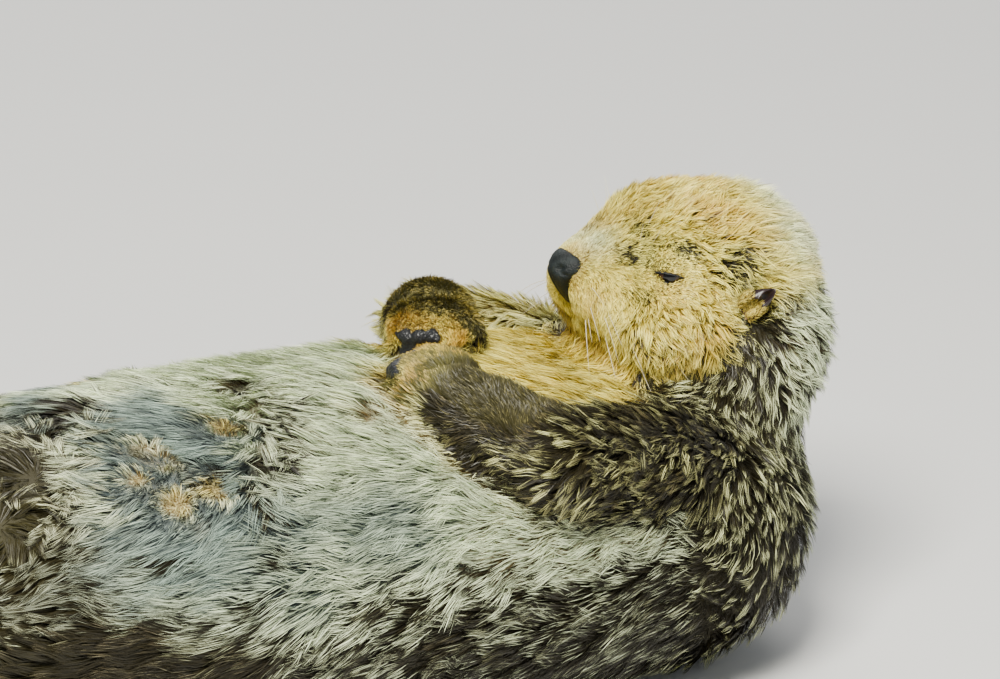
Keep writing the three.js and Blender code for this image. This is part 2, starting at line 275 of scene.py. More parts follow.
class Finish:
    """A material with one Principled shader, whose own numbers are given by name."""

    def __init__(self, name, **numbers):
        self.material = bpy.data.materials.new(name)
        self.material.use_nodes = True
        self.tree = self.material.node_tree
        self.shader = self.tree.nodes["Principled BSDF"]
        for key, value in numbers.items():
            self.shader.inputs[key.replace("_", " ").title().replace("Ior", "IOR")].default_value = value

    def node(self, kind, settings=None, sockets=None, output=0):
        made = self.tree.nodes.new(kind)
        for key, value in (settings or {}).items():
            setattr(made, key, value)
        for key, value in (sockets or {}).items():
            if isinstance(value, Amount):
                self.tree.links.new(value.socket, made.inputs[key])
            else:
                made.inputs[key].default_value = value
        return Amount(self, made.outputs[output])

    def feed(self, name, amount):
        self.tree.links.new(amount.socket, self.shader.inputs[name])

    def mixed(self, share, first, second):
        """Two colours mixed; each is an Amount or three numbers."""
        ends = [colour if isinstance(colour, Amount) else (*colour, 1) for colour in (first, second)]
        return self.node("ShaderNodeMix", {"data_type": "RGBA"}, {0: share, 6: ends[0], 7: ends[1]}, output=2)

    def marks(self, name):
        """The four numbers of an attribute."""
        settings = {"attribute_type": "GEOMETRY", "attribute_name": name}
        colour = self.node("ShaderNodeAttribute", settings)
        fourth = self.node("ShaderNodeAttribute", settings, output=3)
        three = [self.node("ShaderNodeSeparateColor", {}, {0: colour}, output=i) for i in range(3)]
        return (*three, fourth)

    def in_place(self, kind, **sockets):
        """A texture laid out over the object's own coordinates."""
        where = self.node("ShaderNodeTexCoord", output=3)
        return self.node(kind, {}, {"Vector": where, **sockets})

    def noise(self, scale, detail=2.0):
        return self.in_place("ShaderNodeTexNoise", Scale=scale, Detail=detail)

    def grains(self, scale):
        return self.in_place("ShaderNodeTexVoronoi", Scale=scale)

    def raise_by(self, height, distance, strength=1.0):
        sockets = {"Height": height, "Distance": distance, "Strength": strength}
        self.feed("Normal", self.node("ShaderNodeBump", {}, sockets))


# ---------------------------------------------------------------- the skin's regions
LIMB_NODES = {
    "upper_arm": "upper_arm",
    "forearm": "forearm",
    "paw": "forepaw",
    "thigh": "thigh",
    "shank": "shank",
    "foot": "hind_foot",
}
# The CAD node that each part of the skin covers.
PARTS = {part: part for part in ("head", "neck", "chest", "belly", "hips", "tail")}
PARTS.update({f"{part}_{side}": f"{node}_{side}" for part, node in LIMB_NODES.items() for side in SIDES})
PART_NAMES = list(PARTS)

# For each part: how deep the skin lies under the tips of the coat, and the coat's own length and width of a
# hair, in millimetres; how far its hairs are drawn together in locks, and how much they stray, from 0 to 1.
COAT_KEYS = ("depth", "length", "width", "locks", "stray")
COAT = {
    "head": (6.0, 12, 0.55, 0.5, 0.55),
    "neck": (10, 20, 0.52, 0.95, 0.32),
    "chest": (10, 24, 0.62, 0.6, 0.28),
    "belly": (8, 28, 0.6, 0.5, 0.18),
    "hips": (10, 25, 0.75, 0.85, 0.35),
    "tail": (7, 17, 0.72, 0.7, 0.3),
    "upper_arm": (8, 24, 0.52, 0.96, 0.28),
    "forearm": (7, 20, 0.5, 0.92, 0.3),
    "paw": (4, 8, 0.45, 0.45, 0.5),
    "thigh": (9, 20, 0.75, 0.75, 0.35),
    "shank": (6, 13, 0.65, 0.5, 0.3),
    "foot": (1.8, 5, 0.55, 0.3, 0.3),
}
TRUNK = ("neck", "chest", "belly", "hips")


def kind(part):
    return part.rsplit("_", 1)[0] if part.endswith(("_left", "_right")) else part


def part_shares(places, edges):
    """How much each vertex of the skin belongs to each part, blended over the joins."""
    owners = []
    whole = bmesh.new()
    for index, node in enumerate(PARTS.values()):
        before = len(whole.faces)
        whole.from_mesh(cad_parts[node].data)
        owners += [index] * (len(whole.faces) - before)
    tree = BVHTree.FromBMesh(whole)
    nearest = [owners[tree.find_nearest(place)[2]] for place in places]
    whole.free()
    shares = np.zeros((len(places), len(PARTS)))
    shares[np.arange(len(places)), nearest] = 1
    return spread(shares, edges, 14)


class Pelt:
    """A mesh as arrays, for hairs to stand on."""

    def __init__(self, piece):
        self.piece = piece
        mesh = piece.data
        self.places = places_of(mesh)
        self.edges = edges_of(mesh)
        self.normals = normals_of(mesh)
        self.triangles = triangles_of(mesh)

    def move(self, places):
        set_places(self.piece.data, places)
        self.places = places_of(self.piece.data)
        self.normals = normals_of(self.piece.data)


class Hide(Pelt):
    """The skin, with how much each vertex belongs to each part of the body."""

    def __init__(self, piece):
        super().__init__(piece)
        self.shares = part_shares(self.places, self.edges)

    def share(self, *kinds):
        wanted = [i for i, part in enumerate(PART_NAMES) if kind(part) in kinds or part in kinds]
        return sum(self.shares[:, i] for i in wanted)

    def join(self, first, second):
        """1 along the fold between two groups of parts, and 0 away from it."""
        return np.clip(4 * self.share(*first) * self.share(*second), 0, 1)

    def folds(self):
        """How deep in a fold each vertex lies: under the jowls, and where the limbs meet the body. The skin
        sinks by it, and the markings darken it as painted shade.
        """
        under_jowl = ease(22, 2, in_head(self.places)[:, 2])
        arm_on_body = self.join(("forearm", "paw"), TRUNK)
        arm_on_body = arm_on_body + 0.5 * self.join(("upper_arm",), ("chest", "belly"))
        legs = self.join(("thigh", "shank"), ("hips", "belly"))
        return np.clip(self.join(("head",), ("neck",)) * under_jowl + arm_on_body + 0.5 * legs, 0, 1)

    def mixed(self, key):
        """A number of the COAT table, blended over the parts."""
        column = COAT_KEYS.index(key)
        return self.shares @ np.array([COAT[kind(part)][column] for part in PART_NAMES])


# ---------------------------------------------------------------- the face
MUZZLE_TIP = np.array([84.0, 0, -8])  # in the head's own axes, millimetres, as are all the places here
WHISKER_PAD = np.array([66.0, 15, -19])
BROW_HOLLOW = np.array([46.0, 31, 17])
TEAR_FOLD = np.array([48.0, 42, -3])
EAR_ROOT = np.array([-8.0, 62, 4])
EAR_WHORL = np.array([-3.0, 60, 25])
SLIT = {"half": 8.3, "level": -0.5, "arch": 0.9, "drop": 3.9, "tilt": math.radians(-1)}
LID = 1.2  # thickness of an eyelid
LID_BLEND = 3.5  # over how much the lids run out into the face
EYE_FACE = 9  # how far round an eyeball its lids reach
# The bare nose: its top, its height, how far ahead it reaches and half its width.
PAD = {"top": 3.8, "tall": 31.0, "tip": 90.0, "half": 13.6}
# The hollows and swellings of the face on the animal's left: where, how wide and how far they rise.
FACE_FORMS = [
    (WHISKER_PAD, 13, 1.6),
    (BROW_HOLLOW, 10, -3.0),
    (TEAR_FOLD, 4, -2.6),
    (TEAR_FOLD + [1, -1, -6], 4, -1.8),
    (TEAR_FOLD + [2, -2, -12], 5, -1.2),
    ([38, 47, -8], 9, 1.6),
    ([20, 62, -2], 5, -1.5),
    ([16, 62, -12], 5, -1.2),
    (EAR_WHORL, 7, -2.0),
    ([72, 13, -24], 7, 1.8),
]


def pad_half(t):
    """Half the width of the nose pad, t from its top to the lip (0 to 1)."""
    shoulder = np.sqrt(np.maximum(1 - np.maximum(1 - t / 0.24, 0) ** 3.2, 0))
    return PAD["half"] * shoulder * (1 - 0.88 * (np.maximum(t - 0.28, 0) / 0.72) ** 0.95) + 0.5


def outside_pad(places):
    """How far a place on the muzzle lies outside the bare nose, in millimetres."""
    t = (PAD["top"] - places[:, 2]) / PAD["tall"]
    aside = np.abs(places[:, 1]) - pad_half(np.clip(t, 0, 1))
    beyond = np.maximum(np.maximum(-t, t - 1), 0) * PAD["tall"]
    behind = np.maximum(62 - places[:, 0], 0)
    return np.maximum(aside, beyond) + behind


EYE_OUT = unit(np.array([0.42, 0.9, 0.12]))  # the way an eyelid faces


def mirrored(places):
    """Places in the head with both sides folded onto the animal's left."""
    return places * [1, 0, 1] + np.abs(places) * [0, 1, 0]


# The eye's centre on the animal's left, and the ways along the slit towards the ear and up across it.
EYE_IN_FACE = np.array([EYE_IN_HEAD[0] / MM, abs(in_head(EYE_CENTRE["left"])[1]), EYE_IN_HEAD[2] / MM])
EYE_ALONG = unit(np.array([-1.0, 0, math.sin(SLIT["tilt"])]) + EYE_OUT * EYE_OUT[0])
EYE_ACROSS = np.cross(EYE_ALONG, EYE_OUT) * np.sign(np.cross(EYE_ALONG, EYE_OUT)[2])


def from_eye(places):
    """Seen from the front of an eyelid: how far along the slit, and how far up, in millimetres; then how far
    from the eye's centre, the offset from it and how far out it points.
    """
    offset = mirrored(places) - EYE_IN_FACE
    far = np.linalg.norm(offset, axis=1)
    return offset @ EYE_ALONG, offset @ EYE_ACROSS, far, offset, offset @ EYE_OUT


def slit_gap(along, across):
    """How far outside the slit between the lids a place is, in millimetres; under 0 is between them."""
    t = np.clip(np.abs(along) / SLIT["half"], 0, 1)
    low = SLIT["level"] - SLIT["drop"] * (1 - t * t) ** 1.1
    high = SLIT["level"] + SLIT["arch"] * (1 - t * t)
    middle_line = (low + high) / 2
    half = (high - low) / 2
    beyond = np.maximum(np.abs(along) - SLIT["half"], 0)
    above = np.abs(across - middle_line) - half
    return np.where(beyond > 0, np.hypot(beyond, np.maximum(above, 0)), above)


def mouth_line(forward):
    """The height of the line between the lips, which turns up a little at the corner."""
    return -34 + 4 * ease(52, 36, forward)


def spots(places, table):
    """The sum of soft round spots, each with its centre, width and strength."""
    return sum(strength * bump(apart(places, centre), width) for centre, width, strength in table)


def shape_face(hide):
    """Moves the skin of the head: muzzle, lips, lids and folds."""
    places = in_head(hide.places)
    normals = hide.normals @ HEAD_AXES.T
    both = mirrored(places)
    on_head = hide.share("head")

    lift = spots(both, FACE_FORMS)
    ahead = ease(30, 44, places[:, 0])
    lips = bump(places[:, 2] - mouth_line(places[:, 0]), 1.5) * ahead
    parting = bump(places[:, 1], 1.3) * ease(-18, -22, places[:, 2]) * ease(60, 66, places[:, 0])
    lift -= 1.6 * lips + 1.2 * parting * ease(-36, -33, places[:, 2])
    lift -= 6.0 * bump(places[:, 1], 6) * ease(-9, -17, places[:, 2]) * ease(-40, -32, places[:, 2]) * ahead
    lift -= 1.0 * ease(1.5, -2, outside_pad(places))
    places = places + normals * (lift * on_head)[:, None]

    # The lids lie over the eyeball, run out smoothly into the face, and turn in to it at the slit.
    along, across, far, offset, out = from_eye(places)
    ball = EYE_RADIUS / MM
    over_ball = (on_head > 0.3) * (far < ball + EYE_FACE)
    turn = ball / np.maximum(far, 1)
    gap = slit_gap(along * turn, across * turn)
    step = 0.05
    slope_along = (slit_gap(along * turn + step, across * turn) - gap) / step
    slope_across = (slit_gap(along * turn, across * turn + step) - gap) / step
    at_rim = over_ball * (np.abs(gap) < 0.34) * (out > 0)
    onto = -gap * at_rim
    offset = offset + np.outer(onto * slope_along, EYE_ALONG) + np.outer(onto * slope_across, EYE_ACROSS)
    gap = np.where(at_rim > 0, 0.6, gap)
    crease = 0.6 * bump(across - 6.2 + 0.05 * along**2, 1.0)
    lid = ball + LID - crease
    share = np.clip(0.5 + 0.5 * (lid - far) / LID_BLEND, 0, 1)
    radius = blend(far, lid, share) + LID_BLEND * share * (1 - share)
    between_lids = blend(ball - 2.4, radius, ease(-0.05, 0.5, gap))
    radius = np.where(over_ball * (out > 0) > 0, between_lids, radius)
    radius = np.where(over_ball > 0, radius, far)
    moved = unit(offset) * radius[:, None] + EYE_IN_FACE
    moved[:, 1] *= np.where(places[:, 1] < 0, -1, 1)
    places = np.where(over_ball[:, None] > 0, moved, places)
    hide.move(from_head(places))


def shape_pads(hide, bare):
    """Swells the bare pads under the forepaws and raises their grains."""
    grains = np.abs(waves(hide.places, 0.0045, 31)) + 0.7 * waves(hide.places, 0.009, 32)
    dome = 1.8 * np.clip(by_pads(hide.places)[0], 0, 1) ** 0.6
    lift = (dome + 0.5 * grains) * bare * hide.share("paw") * MM
    hide.move(hide.places + hide.normals * lift[:, None])


# A hind foot, in millimetres: its length and half width at heel and toes; how far the toes stand over the
# webs, how far the webs lie under the foot's outline and how far their edges are cut back between the toes.
FOOT = {"length": 200, "heel_half": 26, "toe_half": 54, "toes": 5, "ridge": 4.4, "sunk": 2.7, "notch": 14}


def shape_feet(hide):
    """Raises the toes of the hind feet over the webs between them."""
    for side in SIDES:
        first, last = middle(f"claw_{side}_1"), middle(f"claw_{side}_5")
        toeward = toe_way(side)
        outward = unit(last - first - toeward * float((last - first) @ toeward))
        offset = (hide.places - (first + last) / 2) / MM
        along = 1 + offset @ toeward / FOOT["length"]
        half = blend(FOOT["heel_half"], FOOT["toe_half"], ease(0.02, 0.85, along))
        toes = np.cos(math.pi * FOOT["toes"] / 2 * (offset @ outward) / half) ** 2
        on_foot = hide.share("foot_" + side)
        lift = (FOOT["ridge"] * toes - FOOT["sunk"]) * ease(0.12, 0.4, along) * on_foot
        notch = FOOT["notch"] * (1 - toes) * ease(0.72, 1.0, along) * on_foot
        hide.move(hide.places + (hide.normals * lift[:, None] - np.outer(notch, toeward)) * MM)


# ---------------------------------------------------------------- skin
def make_skin():
    piece = remeshed("skin", [*PARTS.values(), "eye_left", "eye_right", "nose"], SKIN_CELL)
    mesh = piece.data
    set_places(mesh, spread(places_of(mesh), edges_of(mesh), 5))
    eyes = in_head(np.array([EYE_CENTRE[side] for side in SIDES]))

    def near(centres, middles):
        return np.min([apart(centres, place) for place in middles], axis=0)

    def near_eyes(radius):
        return lambda centres: near(in_head(centres), eyes) < radius

    def on_face(centres):
        face = in_head(centres)
        return (face[:, 0] > 22) & (np.abs(face[:, 1]) < 62) & (face[:, 2] > -60) & (face[:, 2] < 50)

    def on_paws(centres):
        return near(centres, [middle("forepaw_" + side) for side in SIDES]) < 36 * MM

    finer(mesh, on_face)
    finer(mesh, on_paws)
    finer(mesh, near_eyes(17))
    finer(mesh, near_eyes(13.5))
    hide = Hide(piece)
    depth = (hide.mixed("depth") + 6 * hide.folds()) * MM
    head = in_head(hide.places)
    from_nose = apart(head, MUZZLE_TIP)
    face_depth = 1.2 + 4.8 * ease(12, 55, from_nose) + 5 * ease(85, 125, from_nose)
    depth = blend(depth, face_depth * MM, hide.share("head"))
    _, _, from_ball, _, _ = from_eye(head)
    depth = blend(depth, 1.8 * MM, hide.share("head") * ease(24, 14, from_ball))
    low = ease(12 * MM, 2 * MM, hide.places[:, 2])
    depth = blend(depth, np.minimum(depth, 4 * MM), low)
    depth = spread(depth, hide.edges, 6)
    hide.move(hide.places - hide.normals * depth[:, None])
    hide.move(spread(hide.places, hide.edges, 3))
    shape_face(hide)
    shape_feet(hide)
    smooth_shaded(piece)
    return hide


# ---------------------------------------------------------------- the lie and the colours of the coat
def limb_way(first, second):
    return unit(middle(second) - middle(first))


def toe_way(side):
    """The way that a hind foot points."""
    low, high = (np.array(corner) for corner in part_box("hind_foot_" + side))
    return unit(np.array([low[0] - high[0], 0, high[2] - low[2]]))


def lie_of_coat(hide):
    """The way that the hairs point, along the skin."""
    places, normals = hide.places, hide.normals
    head = in_head(places)
    ways = {part: np.array([-1.0, 0, 0]) for part in ("chest", "belly", "hips", "tail")}
    source = from_head(MUZZLE_TIP - [14, 0, 0])
    drop = 0.8 * ease(14, -24, head[:, 2]) * ease(84, 60, head[:, 0])
    hanging = unit(-CROWNWARD - 0.35 * FORWARD)
    ways["head"] = unit(blend(unit(places - source), hanging, drop[:, None]))
    pivot = np.array([BODY_START - 60 * MM, 0, 150 * MM])
    round_nape = np.cross([0, 1, 0], places - pivot)
    round_nape[:, 0] -= 0.35 * np.linalg.norm(round_nape, axis=1)
    ways["neck"] = unit(round_nape)
    for side in SIDES:
        upper = limb_way("upper_arm_" + side, "forearm_" + side)
        fore = limb_way("forearm_" + side, "forepaw_" + side)
        falling = np.array([-0.35, SIDES[side] * 0.1, -0.95])
        ways["upper_arm_" + side] = unit(0.9 * upper + 0.5 * falling)
        underneath = ease(0.45, -0.25, normals[:, 2])[:, None]
        ways["forearm_" + side] = unit(blend(fore, 0.45 * fore + falling, underneath))
        ways["paw_" + side] = unit(fore + [0, -0.7 * SIDES[side], -0.5])
        ways["thigh_" + side] = limb_way("thigh_" + side, "shank_" + side)
        ways["shank_" + side] = limb_way("shank_" + side, "hind_foot_" + side)
        ways["foot_" + side] = toe_way(side)
    total = sum(hide.shares[:, i : i + 1] * ways[part] for i, part in enumerate(PART_NAMES))

    def laid(vectors):
        return unit(vectors - normals * dot(vectors, normals)[:, None])

    for _ in range(3):
        total = laid(spread(total, hide.edges, 6))
    swirl = 0.35 * waves(places, 0.03, 14)
    for strength, size, seed, where in (
        (0.5, 0.11, 11, ("belly",)),
        (0.25, 0.1, 12, ("chest",)),
        (0.5, 0.06, 13, ("neck", "upper_arm")),
        (0.35, 0.04, 15, ("head", "forearm")),
    ):
        swirl += strength * waves(places, size, seed) * hide.share(*where)
    total = turned(total, normals, swirl * 0.8)
    body = in_body(places)
    for x, y, radius, outward, around, _, _ in WHORLS:
        offset = (body - [x, y, 0]) * [1, 1, 0]
        pull = bump(np.linalg.norm(offset, axis=1), radius * 1.25) * (body[:, 2] > 120) * hide.share(*TRUNK)
        ray = unit(offset + 1e-6)
        aim = outward * ray + around * np.cross([0, 0, 1], ray)
        total = blend(total, aim, (0.85 * pull)[:, None])
    return laid(spread(laid(total), hide.edges, 1))


# Whorls and partings on the belly: their places along and across the body, how wide they are, how far the
# hairs there point outwards and run round, and how dark and how tan it is there.
WHORLS = [
    (-318, -39, 8, 1.0, 0.3, 0.0, 1.0),
    (-371, -46, 8, 1.0, 0.3, 0.0, 1.0),
    (-364, -61, 9, 1.0, -0.3, 0.0, 1.0),
    (-385, -71, 6, 1.0, 0.3, 0.0, 0.8),
    (-370, -92, 9, 1.0, -0.3, 0.0, 1.0),
    (-346, -86, 9, 1.0, 0.6, 0.25, 0.7),
    (-340, -76, 9, 0.8, 0.0, 0.45, 0.0),
    (-274, -28, 17, -0.9, 0.0, 0.9, 0.0),
    (-286, -54, 18, -0.9, 0.0, 0.95, 0.0),
    (-300, -80, 17, -0.9, 0.0, 0.9, 0.0),
    (-316, -104, 13, -0.7, 0.3, 0.8, 0.0),
    (-284, 14, 12, 0.6, 0.3, 0.6, 0.0),
    (-378, 8, 20, 0.4, 0.6, 0.6, 0.0),
    (-392, -14, 16, -0.7, 0.3, 0.55, 0.0),
    (-420, -22, 18, 0.5, -0.5, 0.4, 0.12),
    (-440, -48, 26, 0.7, 0.5, 0.42, 0.15),
    (-470, -78, 24, 0.7, -0.5, 0.5, 0.2),
    (-470, 20, 28, 0.5, -0.5, 0.4, 0.1),
    (-430, 78, 24, 0.6, 0.5, 0.4, 0.15),
    (-350, 70, 9, 1.0, 0.3, 0.0, 0.8),
    (-328, 96, 14, 1.0, -0.3, 0.4, 0.0),
    (-229, -49, 12, 0.4, 0.3, 0.5, 0.15),
]


TOE_PADS = 5
# The pads under the forepaws, those of the toes first and then the palm's: how far each lies from the paw's
# middle, and its radius, in millimetres.
PADS = {
    "right": [
        (-33, 3, -4, 5.6),
        (-31, -7, -1, 5.8),
        (-26, -16, 1, 5.8),
        (-20, -22, 2, 5.8),
        (-13, -27, 3, 5.6),
        (-17, -14, -11, 12),
    ],
    "left": [
        (-7, 21, 11, 6.5),
        (-15, 19, 10, 7),
        (-23, 16, 7, 7.5),
        (-28, 9, 3, 7.5),
        (-30, 0, -4, 7),
        (-14, 22, -8, 12),
    ],
}


def by_pads(places):
    """How far up the dome of the nearest pad each place lies, 1 at its middle and 0 at its edge; then how far
    it is from the toe pads, in millimetres.
    """
    height, away = np.full(len(places), -9.0), np.full(len(places), 999.0)
    for side in SIDES:
        for index, (*offset, radius) in enumerate(PADS[side]):
            far = apart(places, middle("forepaw_" + side) + np.array(offset) * MM) / MM
            height = np.maximum(height, 1 - (far / radius) ** 2)
            if index < TOE_PADS:
                away = np.minimum(away, far)
    return height, away


def bare_skin(hide):
    """1 where the skin is bare: the pads under the forepaws and the margins of the lids."""
    along, across, far, _, out = from_eye(in_head(hide.places))
    margin = 0.8 + 0.25 * (across > SLIT["level"])
    by_slit = ease(margin + 0.3, margin - 0.2, slit_gap(along, across))
    bare = 0.65 * hide.share("head") * by_slit * (out > 0) * (far < 14)
    rough = 0.26 * waves(hide.places, 0.006, 34)
    bare = bare + hide.share("paw") * ease(-0.2, 0.25, by_pads(hide.places)[0] + rough)
    return np.clip(bare, 0, 1)


# Spots of colour on the head's left: where, how wide and how strong. The first four are broken up. The dark
# spots in the brow hollow, in the tear fold and in the crease from the ear down to the jaw are painted shade.
HEAD_DARK_BROKEN = [
    # painted shade in the brow hollow
    (BROW_HOLLOW + [-2, 1, 3], 21, 0.47),
    # painted shade in the tear fold
    (TEAR_FOLD + [0, 0, -4], 8, 0.22),
    (EAR_WHORL, 10, 0.6),
    ([58, 24, 6], 16, 0.14),
]
HEAD_DARK = [
    (EAR_ROOT + [-4, 6, -20], 13, 0.55),
    # painted shade in the crease from the ear down to the jaw
    ([16, 62, -8], 10, 0.2),
    ([4, 49, 20], 13, 0.64),
]
HEAD_WARM = [
    ([70, 26, -20], 10, 0.6),
    ([28, 20, 50], 13, 0.45),
    ([14, 66, -20], 15, 0.4),
    ([8, 35, 45], 18, 0.5),
]
PALE_MUZZLE = [([72, 8, 12], 15, 0.36)]
LIGHT_POOL_BEFORE_PAWS = [-262, -78, 90]  # a painted pool of light on the belly before the paws, its height halved
TUFT = {"dark": 0.42, "silver": 0.22, "warm": 0.3}  # the small tan tufts of the belly


def markings(hide):
    """Four numbers at each vertex: dark, silver, warm and bare, each from 0 to 1."""
    places = hide.places
    head = in_head(places)
    both = mirrored(head)
    body = in_body(places)
    back, across, height = body.T  # how far ahead of the trunk's start, to the right and up
    up, out = hide.normals[:, 2], hide.normals[:, 1]
    share = hide.share
    folds = hide.folds()
    patchy = waves(places, 0.05, 21)
    fine = waves(places, 0.018, 22)
    streak = ease(0.35, 1.3, waves(places * [0.3, 1, 1], 0.024, 24))
    slate = ease(-0.3, 0.9, waves(places, 0.085, 25))

    flank = ease(172, 140, height)
    # The lower sides of the belly and chest, which turn to slate below as painted shade.
    low = ease(184, 152, height)
    under = ease(156, 84, height + 8 * patchy)
    tail_end = ease(-372, -450, back)
    light_pool_before_paws = bump(apart(body * [1, 1, 0.5], LIGHT_POOL_BEFORE_PAWS), 46)
    _, from_pads = by_pads(places)
    near_side = ease(0, -10, across)
    up_arm = ease(11 + 6 * near_side, 27 + 18 * near_side, from_pads + 3 * fine)
    top_of_arm = ease(0.1, 0.6, up)
    inner = share("forearm_left") * ease(-0.05, 0.4, out) * ease(-188, -160, back)

    mouth = bump(head[:, 2] - mouth_line(head[:, 0]), 1.8)
    mouth *= ease(34, 44, head[:, 0]) * ease(34, 26, both[:, 1])
    on_head = 0.18 + 0.05 * ease(10, 62, head[:, 0]) * ease(2, 16, head[:, 2])
    on_head += spots(both, HEAD_DARK_BROKEN) * (1 + 0.5 * fine) + spots(both, HEAD_DARK) + 0.3 * mouth
    # Painted shade: the lower sides of the jowls are darker.
    on_head += 0.28 * ease(-10, -36, head[:, 2]) * ease(25, 50, both[:, 1])
    on_head += 0.22 * ease(-15, -50, head[:, 0])
    on_chest = 0.04 + 0.14 * flank + 0.66 * under + 0.36 * streak * ease(-165, -230, back)
    on_belly = 0.22 + 0.56 * tail_end + 0.16 * flank + 0.6 * under
    on_belly += 0.4 * streak + (0.1 + 0.28 * tail_end) * patchy
    dark = share("head") * on_head + share("chest") * on_chest + share("belly") * on_belly
    dark += share("neck") * (0.85 - 0.27 * ease(120, 190, height) * ease(-5, 25, back))
    # Painted light: the belly before the paws is lighter.
    dark -= 0.18 * light_pool_before_paws * share("chest", "belly")
    dark += share("hips") * (0.95 + 0.04 * patchy)
    for strength, *where in (
        (0.97, "tail", "foot"),
        (0.965, "thigh", "shank"),
        (0.9, "upper_arm_left"),
        (0.34, "upper_arm_right"),
    ):
        dark += strength * share(*where)
    palm = 0.34 + 0.5 * near_side
    forelimbs = 0.95 * share("forearm_left", "paw_left") + 0.8 * share("forearm_right", "paw_right")
    dark += forelimbs * (palm + (1 - palm) * up_arm)
    dark += 0.06 * fine
    # Painted shade: the coat is darkened in the folds under the jowls and where the limbs meet the body, less
    # so high on the chest and arms, where they lie in the light.
    in_light = ease(160, 182, height) * share("chest") + ease(185, 205, height) * share("forearm", "paw")
    dark += 0.4 * folds * (1 - 0.85 * in_light) * (1 - 0.5 * share("neck") * ease(-10, 20, back))
    dark += 0.05 * near_side * share("forearm") * top_of_arm * up_arm - 0.6 * inner

    # Silver rises to slate in random patches of the fur and, on the lower sides, as painted shade; the
    # painted pool of light before the paws has no slate.
    silver = share("belly") * (0.56 + 0.4 * np.maximum(slate * (1 - light_pool_before_paws), 0.9 * low) * (1 - under))
    silver += share("hips") * 0.22 + share("neck") * (0.35 + 0.17 * ease(0, 40, back))
    away = np.maximum(np.maximum(ease(-165, -215, back), flank), ease(82, 104, np.abs(across)))
    # The lower sides of the chest towards the tail turn to slate as painted shade.
    silver += share("chest") * away * (0.52 + 0.36 * low * ease(-190, -240, back) * (1 - under))
    silver += 0.25 * share("upper_arm", "forearm_left") + 0.1 * share("forearm_right", "tail")
    back_of_head = 0.5 * ease(5, -35, head[:, 0]) * ease(5, 40, head[:, 2])
    silver += share("head") * (back_of_head + spots(both, PALE_MUZZLE))

    warm = 0.04 * share("head") + 0.02 * share("chest") * (1 - flank)
    warm += share("paw", "forearm") * (0.6 + 0.2 * near_side + 0.3 * waves(places, 0.03, 23)) * (1 - up_arm)
    warm += 0.2 * share("belly") * tail_end + 0.2 * share("hips")
    warm += (0.5 - 0.24 * near_side) * share("forearm", "paw") * top_of_arm * up_arm
    beyond = ease(-160, -184, back) * ease(0, 12, across) * np.clip(1.8 * share("chest"), 0, 1)
    warm *= 1 - 0.9 * beyond
    silver = np.maximum(silver, 0.5 * beyond)
    warm += share("head") * spots(both, HEAD_WARM)
    # Random warm tone over the head; the last term is a warm painted shade under the jowls.
    warm += share("head") * (0.16 * patchy + 0.12 * fine + 0.3 * ease(-26, -46, head[:, 2]))
    fringe = hide.join(("forearm_left", "paw_left"), ("chest", "belly")) * ease(70, 40, from_pads)
    fringe *= ease(0.25, 0.6, -hide.normals[:, 0]) * ease(16, 30, from_pads)
    dark = blend(dark, 0.25, 0.7 * fringe)
    warm *= 1 - 0.6 * fringe

    on_top = (height > 120) * share(*TRUNK)
    parting = 0
    for x, y, radius, _, _, darker, tan in WHORLS:
        gap = np.hypot(back - x, across - y) * (1 + 0.25 * fine)
        inside = bump(gap, radius) * on_top
        parting = np.maximum(parting, np.clip(2 * darker * inside - 0.4, 0, 1))
        silver += 0.3 * tan * bump(gap - 2 * radius, radius) * on_top
        dark += darker * inside
        tuft = np.clip(1.8 * tan * inside, 0, 1)
        dark = blend(dark, TUFT["dark"], tuft)
        silver = blend(silver, TUFT["silver"], tuft)
        warm = blend(warm, TUFT["warm"], tuft)
    paler = 0.2 * on_top * share("chest", "belly") * (1 - parting)
    paler += 0.17 * share("neck") + 0.16 * share("head")
    dark = np.minimum(dark, 1 - paler)
    marks = np.stack([dark, silver, warm, np.zeros(len(places))], axis=1)
    marks = np.clip(spread(marks, hide.edges, 1), 0, 1)
    marks[:, 3] = bare_skin(hide)
    return marks


# ---------------------------------------------------------------- hairs
class Roots:
    """Places scattered on the skin, with everything that a hair there needs."""

    def __init__(self, pelt, fields, chosen, count, luck):
        corners = pelt.triangles
        weight = chosen[corners].mean(axis=1)
        sides = pelt.places[corners]
        area = np.linalg.norm(np.cross(sides[:, 1] - sides[:, 0], sides[:, 2] - sides[:, 0]), axis=1) / 2
        odds = area * weight
        picked = corners[luck.choice(len(corners), count, p=odds / odds.sum())]
        a, b = np.sqrt(luck.random(count)), luck.random(count)
        share = np.stack([1 - a, a * (1 - b), a * b], axis=1)

        def at(values):
            return np.einsum("nk,nk...->n...", share, values[picked])

        self.place = at(pelt.places)
        self.normal = unit(at(pelt.normals))
        self.way = unit(at(fields["lie"]))
        self.marks = at(fields["marks"])
        for key in COAT_KEYS:
            setattr(self, key, at(fields[key]))


